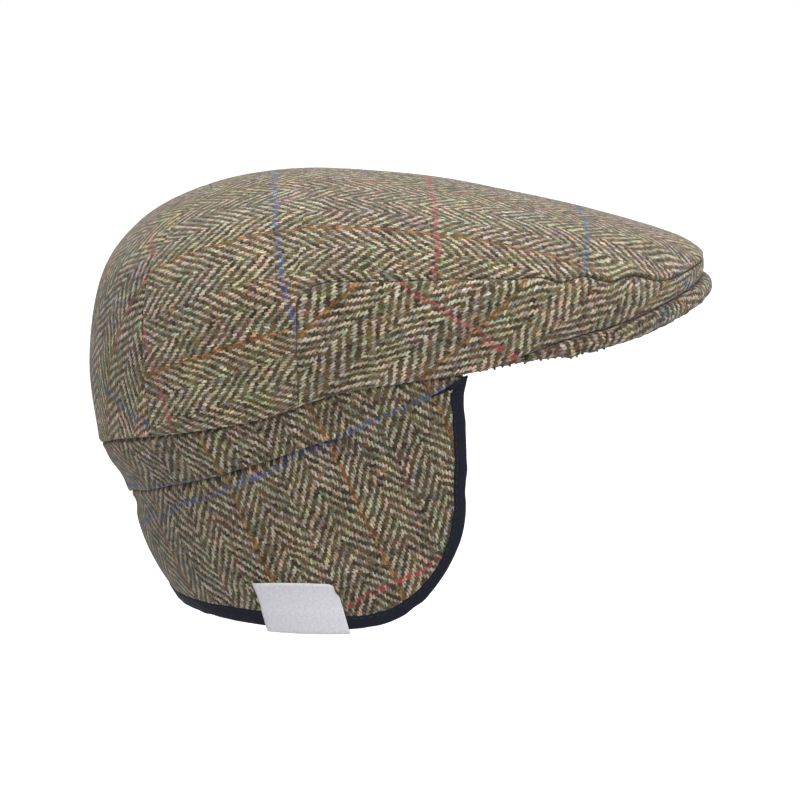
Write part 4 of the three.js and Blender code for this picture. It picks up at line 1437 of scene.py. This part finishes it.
def bindingProfile():
    # across the cloth and beyond its edge, from the outer leg round the edge to the inner leg
    b, thick = binding, pinch["edgeThickness"]
    top, leg, groove = b["proud"], -b["leg"], -b["leg"] + b["stitchAt"]
    outer = [(0.06, leg), (top * 0.6, leg + 0.02), (top * 0.88, leg + 0.4), (top * 0.62, groove),
             (top * 0.95, groove + 0.8), (top, groove + 1.5)]
    middle, half = -thick / 2, thick / 2 + top
    bend = [(middle + half * math.cos(a), b["edge"] * math.sin(a)) for a in
            np.radians(np.linspace(0, 180, 13))]
    inner = [(-thick - x, y) for x, y in reversed(outer)]
    under = [(-thick - 0.02, leg), (-thick - 0.02, 0.15), (0.02, 0.15), (0.02, leg)]
    return np.array([*outer, *bend, *inner, *under]) - np.array([pinch["sink"], 0])


def makeBinding():
    b = binding
    length = freeLine.walked[-1]
    distances = np.linspace(0, length, int(length / b["step"]) + 1)
    position, along, out, away = alongEdge(freeLine, freeNormals, distances)
    profile = bindingProfile()

    def wave(size, waveLength, seed):
        return size * lineNoise(distances, waveLength, seed)

    x, z = position[:, 0], position[:, 2].clip(b["edgeZ"][0], b["edgeZ"][-1])
    onHem = smooth(b["hemFrom"], b["hemZ"], position[:, 2])
    legs = sum(wave(*part) for part in b["legWaves"]) - np.interp(z, b["edgeZ"], b["edgeIn"])
    legs -= b["rearIn"] * onHem * smooth(b["rearFrom"], b["rearTo"], x)
    full = b["fullness"] * onHem * bump(x, b["fullReach"], b["fullestX"])
    full += wave(*b["bendWave"]) + cubicAlong(b["edgeZ"], b["edgeOut"], z)
    middle = -pinch["edgeThickness"] / 2 - pinch["sink"]
    swell = np.sqrt(1 + wave(*b["swell"]))
    across = middle + (profile[:, 0] - middle) * swell[:, None]
    onLegs, onBend = profile[:, 1] < -1.0, profile[:, 1] > 0.3
    beyond = profile[:, 1] + onLegs * legs[:, None] + onBend * full[:, None]
    sections = position[:, None] + across[..., None] * out[:, None] + beyond[..., None] * away[:, None]
    fromEnd = np.minimum(distances, length - distances)
    slant = b["slant"] * bump(fromEnd, b["slantReach"]) * np.where(distances < length / 2, 1, -1)
    sections += (slant[:, None] * (b["edge"] - beyond))[..., None] * along[:, None]
    sections = sections[:, ::-1]
    piece = sweep("flap_binding_tape", sections, distances, walkedRound(profile)[::-1], navyTape)
    width = walkedRound(profile[:-4])[-2]  # the last four points are against the cloth
    print(f"binding: {length:.0f} mm long, {width:.1f} mm of tape across")
    grooves = (3, len(profile) - 8)  # the fourth point of each leg, from its free end
    paths = [sections[2:-2, len(profile) - 1 - groove] for groove in grooves]
    return piece, (length * mm, width * mm), paths


bindingTail = {
    # from the top front corner the tape runs back and down under the crown's edge
    "fromX": 45.2, "toX": 31.0, "fallFrom": 1.6, "fallTo": 7.4, "fallPower": 0.8,
    "widthFrom": 2.6, "widthTo": 0.7, "widthPower": 0.6,
    "proud": 0.85, "side": 0.2, "round": 0.6, "sunk": 0.6, "foot": 0.9, "count": 18,
    "length": 15.0, "around": 5.0,  # of its cloth, for the weave
}


def makeBindingTail(name, hand):
    t = bindingTail
    share = np.linspace(0, 1, t["count"])

    def heightAt(angle):
        return levelHeight(0, angle) - mix(t["fallFrom"], t["fallTo"], share ** t["fallPower"])

    angle = flapAngleAt(mix(t["fromX"], t["toX"], share), heightAt)
    height = heightAt(angle)
    points, normals = flapSurface(angle, height), flapNormal(angle, height)
    across = unit(np.cross(normals, np.gradient(points, axis=0)))
    half = mix(t["widthFrom"], t["widthTo"], share ** t["widthPower"]) / 2
    turn = np.radians(np.linspace(0, 180, 7))
    outline = [(math.cos(a), mix(t["side"], t["proud"], math.sin(a) ** t["round"])) for a in turn]
    outline += [(-t["foot"], -t["sunk"]), (t["foot"], -t["sunk"])]
    sections = np.array([[p + c * h * x + n * y for x, y in outline]
                         for p, c, n, h in zip(points, across, normals, half)])
    if hand < 0:
        sections = sections[:, ::-1] * np.array([1, -1, 1])
    around = np.linspace(0, t["around"], len(outline) + 1)
    return sweep(name, sections, share * t["length"], around, navyTape)


def stitchesOn(name, points):
    # a row of machine stitches, sunk by half in the tape's groove
    b = binding
    radius = b["threadRadius"] * mm
    return threadsOn(name, points, **{
        "Spacing": (b["stitch"] + b["stitchGap"]) * mm,
        "Size": (radius, radius, b["stitch"] * mm / 2), "Turn spread": 0.05, "Size spread": 0.1,
        "Stray": b["stitchStray"] * mm, "Seed": 7, "Material": navyThread})


# Label: a satin strip folded over the hem, left bare

label = {
    "width": 33.3, "height": 23.5, "drop": 4.7, "thick": 0.4, "columns": 36,
    "rearLean": 0.19, "frontLean": 0.28,  # how far each edge runs forward on its way down
    "startX": -42.7, "hemZ": -95.0, "arch": 0.7, "cornerRadius": 3.2, "topReach": 8.0, "bend": 1.6,
    # how far it stands from the cloth over the tape, how much less above it, how much more again
    # at its top, and how far its rear edge lifts there
    "stand": 0.95, "settle": 0.45, "topLift": 0.5, "rearLift": 0.5, "rearShare": 0.25,
    "settleFrom": -4.0, "settleTo": -9.0, "liftFrom": -14.0,
}


def makeLabel():
    s = label
    points = freeLine.points
    onHem = (points[:, 1] < 0) & (points[:, 0] > s["startX"]) & (points[:, 2] < s["hemZ"])
    start = freeLine.walked[np.argmax(onHem)]
    tail = s["height"] - s["drop"]
    beyond = np.linspace(-tail, s["drop"] - s["bend"], 18)
    turn = np.radians(np.linspace(0, 180, 11))[1:-1]
    thick = pinch["edgeThickness"]
    middle = -thick / 2 - pinch["sink"]

    def faceOut(y):
        less = s["settle"] * smooth(s["settleFrom"], s["settleTo"], y)
        return s["stand"] - less + s["topLift"] * smooth(s["liftFrom"], -tail, y)

    def profileAt(offset):
        outer = [(faceOut(y) + offset, y) for y in beyond]
        half = faceOut(beyond[-1]) + offset - middle
        below = s["bend"] + offset
        bend = [(middle + half * math.cos(a), beyond[-1] + below * math.sin(a)) for a in turn]
        inner = [(2 * middle - x, y) for x, y in reversed(outer)]
        return [*outer, *bend, *inner]

    profile = np.array([*profileAt(s["thick"]), *reversed(profileAt(0.0))])
    shares = np.linspace(0, 1, s["columns"] + 1)
    sections = []
    for share in shares:
        lean = mix(s["rearLean"], s["frontLean"], share)
        distances = start + s["width"] * share + (profile[:, 1] + s["height"]) * lean
        position, along, out, away = alongEdge(freeLine, freeNormals, distances)
        radius = s["cornerRadius"]
        inCorner = max(radius - s["width"] * (1 - share), 0)
        rounded = radius - math.sqrt(max(radius ** 2 - inCorner ** 2, 0))
        topFall = rounded + s["arch"] * (2 * share - 1) ** 2
        corner = topFall * smooth(-tail + s["topReach"], -tail, profile[:, 1])
        lift = s["rearLift"] * smooth(s["rearShare"], 0.0, share)
        lifted = profile[:, 0] + lift * smooth(-s["topReach"], -tail, profile[:, 1])
        sections.append(position + lifted[:, None] * out + (profile[:, 1] + corner)[:, None] * away)
    sections = np.array(sections)[:, ::-1]
    around = walkedRound(profile)[::-1]
    piece = sweep("label_strip", sections, shares * s["width"], around, paleSatin)
    length = walkedAlong(np.array(profileAt(s["thick"])))[-1]
    return piece, (s["width"] * mm, length * mm)


# Peak: a stiff board covered in the same cloth, which turns over its edge

peak = {
    "angle": [0, 12, 30, 36, 41, 45, 49, 53],
    "standOut": [4.2, 4.0, 3.2, 2.6, 0.6, -3.4, -4.4, -8.0],
    "thickness": [7.2, 8.6, 8.0, 7.0, 4.1, 2.4, 2.2, 2.0],
    "under": [0.4, 0.45, 0.45, 0.45, 0.4, 0.5, -0.6, -0.8],
    "innerThickness": 3.0, "foreheadReach": 113.0, "foreheadHalfWidth": 80.0,
    "foreheadHeight": 27.0, "templeHeight": 5.0,
    "step": 0.8, "bendPoints": 15, "flatPoints": 12,
    # lumps of the lower edge: size, how sharp the notches between them are, and where they begin
    "rag": 1.35, "ragSize": 4.4, "fineRag": 0.3, "fineSize": 1.3, "notch": 2.2, "notchBase": 0.6,
    "ragTop": 0.15, "ragFront": 0.45, "ragFrom": 25.0, "ragFull": 40.0, "ragPoints": 9,
    # yarn ends at the ragged edge, from an angle back
    "tuftsFrom": 30.0, "tuftSpacing": 3.4, "tuft": [0.55, 0.5, 0.7], "tuftStray": 0.3,
    "tuftRow": 2,  # row of the turned edge on which they stand, from below
    "turn": 90.0, "shift": (0.0, 0.0),
}


def peakSections(angles):
    p = peak
    turned = np.abs(angles)
    standOut, thick, under = (cubicAlong(p["angle"], p[key], turned, 0, 0)
                              for key in ("standOut", "thickness", "under"))
    outer = standOut + planReach(angles, crown["back"][0], crown["front"][0],
                                 crown["halfWidth"][0], crown["power"][0])
    inner = planReach(angles, 1.0, p["foreheadReach"], p["foreheadHalfWidth"], 2)
    top = levelHeight(0, angles) - under
    fromTemple = np.cos(np.radians(turned / p["angle"][-1] * 90))
    innerTop = mix(p["templeHeight"], p["foreheadHeight"], fromTemple)
    innerThick = np.minimum(thick, p["innerThickness"])
    bend = thick / 2
    turn = np.radians(np.linspace(-90, 90, p["bendPoints"]))
    flatRun = np.linspace(0, 1, p["flatPoints"])[:, None]
    reach = np.concatenate([
        mix(inner, outer - bend, flatRun[:-1]),
        (outer - bend)[None] + bend[None] * np.cos(turn)[:, None],
        mix(outer - bend, inner, flatRun[1:])])
    height = np.concatenate([
        mix(innerTop - innerThick, top - thick, flatRun[:-1]),
        (top - bend)[None] + bend[None] * np.sin(turn)[:, None],
        mix(top, innerTop, flatRun[1:])])
    return reach.T, height.T, len(flatRun) - 1


def makePeak():
    p = peak
    end = p["angle"][-1]
    angles = mix(-end, end, evenShares(
        lambda s: crownSurface(mix(-end, end, s), 0 * s), p["step"], False, False))
    reach, height, flatCount = peakSections(angles)
    size = reach.shape[1]
    points = placeAt(np.repeat(angles[:, None], size, axis=1), reach, height)[:, ::-1]
    outward = unit(points - points.mean(axis=1, keepdims=True))
    low = np.full(size, p["ragTop"])
    low[flatCount:flatCount + p["ragPoints"]] += 1

    def roughness(lumpSize):
        return lumps(points.reshape(-1, 3), lumpSize).reshape(points.shape[:2])

    rough = p["rag"] * (p["notch"] * np.abs(roughness(p["ragSize"])) - p["notchBase"])
    rough += p["fineRag"] * roughness(p["fineSize"])
    sideways = mix(p["ragFront"], 1.0, smooth(p["ragFrom"], p["ragFull"], np.abs(angles)))
    points = points + outward * (rough * low[::-1] * sideways[:, None])[..., None]
    edge = points[:, size - 1 - (flatCount + p["tuftRow"])]
    paths = [edge[angles < -p["tuftsFrom"]], edge[angles > p["tuftsFrom"]]]

    # the cover is laid out from the forehead outward, and again for the underside
    walked = np.concatenate([np.zeros((len(angles), 1)), np.cumsum(
        np.linalg.norm(np.diff(points, axis=1), axis=2), axis=1)], axis=1)
    innerReach = reach[:, -1]
    radial = innerReach[:, None] + walked
    underRadial = reach[:, ::-1]
    topSide = np.arange(size) < size - flatCount
    faces, flats = [], []

    def flatAt(i, j, onTop):
        r = radial[i, j] if onTop else underRadial[i, j]
        a = math.radians(angles[i])
        return crown["axisX"] + r * math.cos(a), r * math.sin(a)

    for i in range(len(angles) - 1):
        for j in range(size):
            k = (j + 1) % size
            onTop = topSide[j] and topSide[k] and k > j
            around = ((i, j), (i, k), (i + 1, k), (i + 1, j))
            faces.append([a * size + b for a, b in around])
            flats += [flatAt(a, b, onTop) for a, b in around]
    last = (len(angles) - 1) * size
    faces += [list(reversed(range(size))), [last + j for j in range(size)]]
    flats += [flatAt(0, j, False) for j in reversed(range(size))]
    flats += [flatAt(len(angles) - 1, j, False) for j in range(size)]
    cover = meshObject("peak_cover", points.reshape(-1, 3), faces, onWeave(np.array(flats), p), [shadedPeakTweed])
    return cover, paths


def yarnEndsOn(name, points, seed, material):
    return threadsOn(name, points, **{
        "Spacing": peak["tuftSpacing"] * mm, "Size": [size * mm for size in peak["tuft"]],
        "Turn spread": 1.3, "Size spread": 0.35, "Stray": peak["tuftStray"] * mm, "Seed": seed,
        "Material": material})


flapPiece, flapSize, flapArea = makeFlap()
bindingPiece, bindingSize, stitchPaths = makeBinding()
labelPiece, labelSize = makeLabel()
declare(flapPiece, "earflap", [woolOn(flapPiece, 5)])
declare(bindingPiece, "flap_binding",
        [stitchesOn("flap_binding_stitches_out", stitchPaths[0]),
         stitchesOn("flap_binding_stitches_in", stitchPaths[1]),
         makeBindingTail("flap_binding_tail_left", 1), makeBindingTail("flap_binding_tail_right", -1)])
declare(labelPiece, "label")
peakPiece, raggedPaths = makePeak()
yarnEnds = []
for number, (hand, path) in enumerate(zip(("right", "left"), raggedPaths)):
    yarnEnds.append(yarnEndsOn("peak_yarn_ends_dark_" + hand, path, 11 + number, darkYarn))
    yarnEnds.append(yarnEndsOn("peak_yarn_ends_pale_" + hand, path, 21 + number, paleYarn))
declare(peakPiece, "peak", extras=[woolOn(peakPiece, 6), *yarnEnds])
print("flap, binding, label and peak made")


# Studio

studio = {
    "floorZ": -0.42, "floorSize": 60.0, "floorColour": "d6d6d6", "floorGlow": 0.85,
    "skyLight": 0.58,
    "lamps": [
        # name, place, aimed at, size, watts
        ("overhead", (0.25, -0.5, 1.6), (0.0, 0.0, 0.0), 1.8, 29.0),
        ("front", (1.2, -1.8, 0.5), (0.05, 0.0, -0.02), 1.6, 13.0),
        ("rear", (-1.5, -0.9, 0.6), (0.0, 0.0, 0.0), 1.4, 2.5),
    ],
}


def makeStudio(s):
    half = s["floorSize"] / 2
    corners = [(-half, -half), (half, -half), (half, half), (-half, half)]
    mesh = bpy.data.meshes.new("floor")
    mesh.from_pydata([(x, y, s["floorZ"]) for x, y in corners], [], [[0, 1, 2, 3]])
    material, w, shader = newMaterial("pale floor", Roughness=0.9)
    shader.inputs["Base Color"].default_value = colour(s["floorColour"])
    shader.inputs["Emission Color"].default_value = (1, 1, 1, 1)
    seen = w.node("ShaderNodeLightPath").outputs["Is Camera Ray"]
    w.feed(shader.inputs["Emission Strength"], w.times(seen, s["floorGlow"]))
    mesh.materials.append(material)
    placed("floor", mesh)
    for name, place, target, size, power in s["lamps"]:
        data = bpy.data.lights.new(name, "AREA")
        data.shape, data.size, data.energy = "DISK", size, power
        lamp = placed(name, data)
        lamp.location = place
        lamp.rotation_euler = (Vector(target) - Vector(place)).to_track_quat("-Z", "Y").to_euler()
    world = bpy.data.worlds.new("studio")
    world.use_nodes = True
    bpy.context.scene.world = world
    w = Wiring(world.node_tree)
    background = world.node_tree.nodes["Background"]
    seen = w.node("ShaderNodeLightPath").outputs["Is Camera Ray"]
    w.feed(background.inputs["Color"], (1, 1, 1, 1))
    w.feed(background.inputs["Strength"], w.blended(seen, s["skyLight"], 1.0))
    settings = bpy.context.scene.view_settings
    settings.view_transform = "Standard"
    settings.look = "None"


makeStudio(studio)
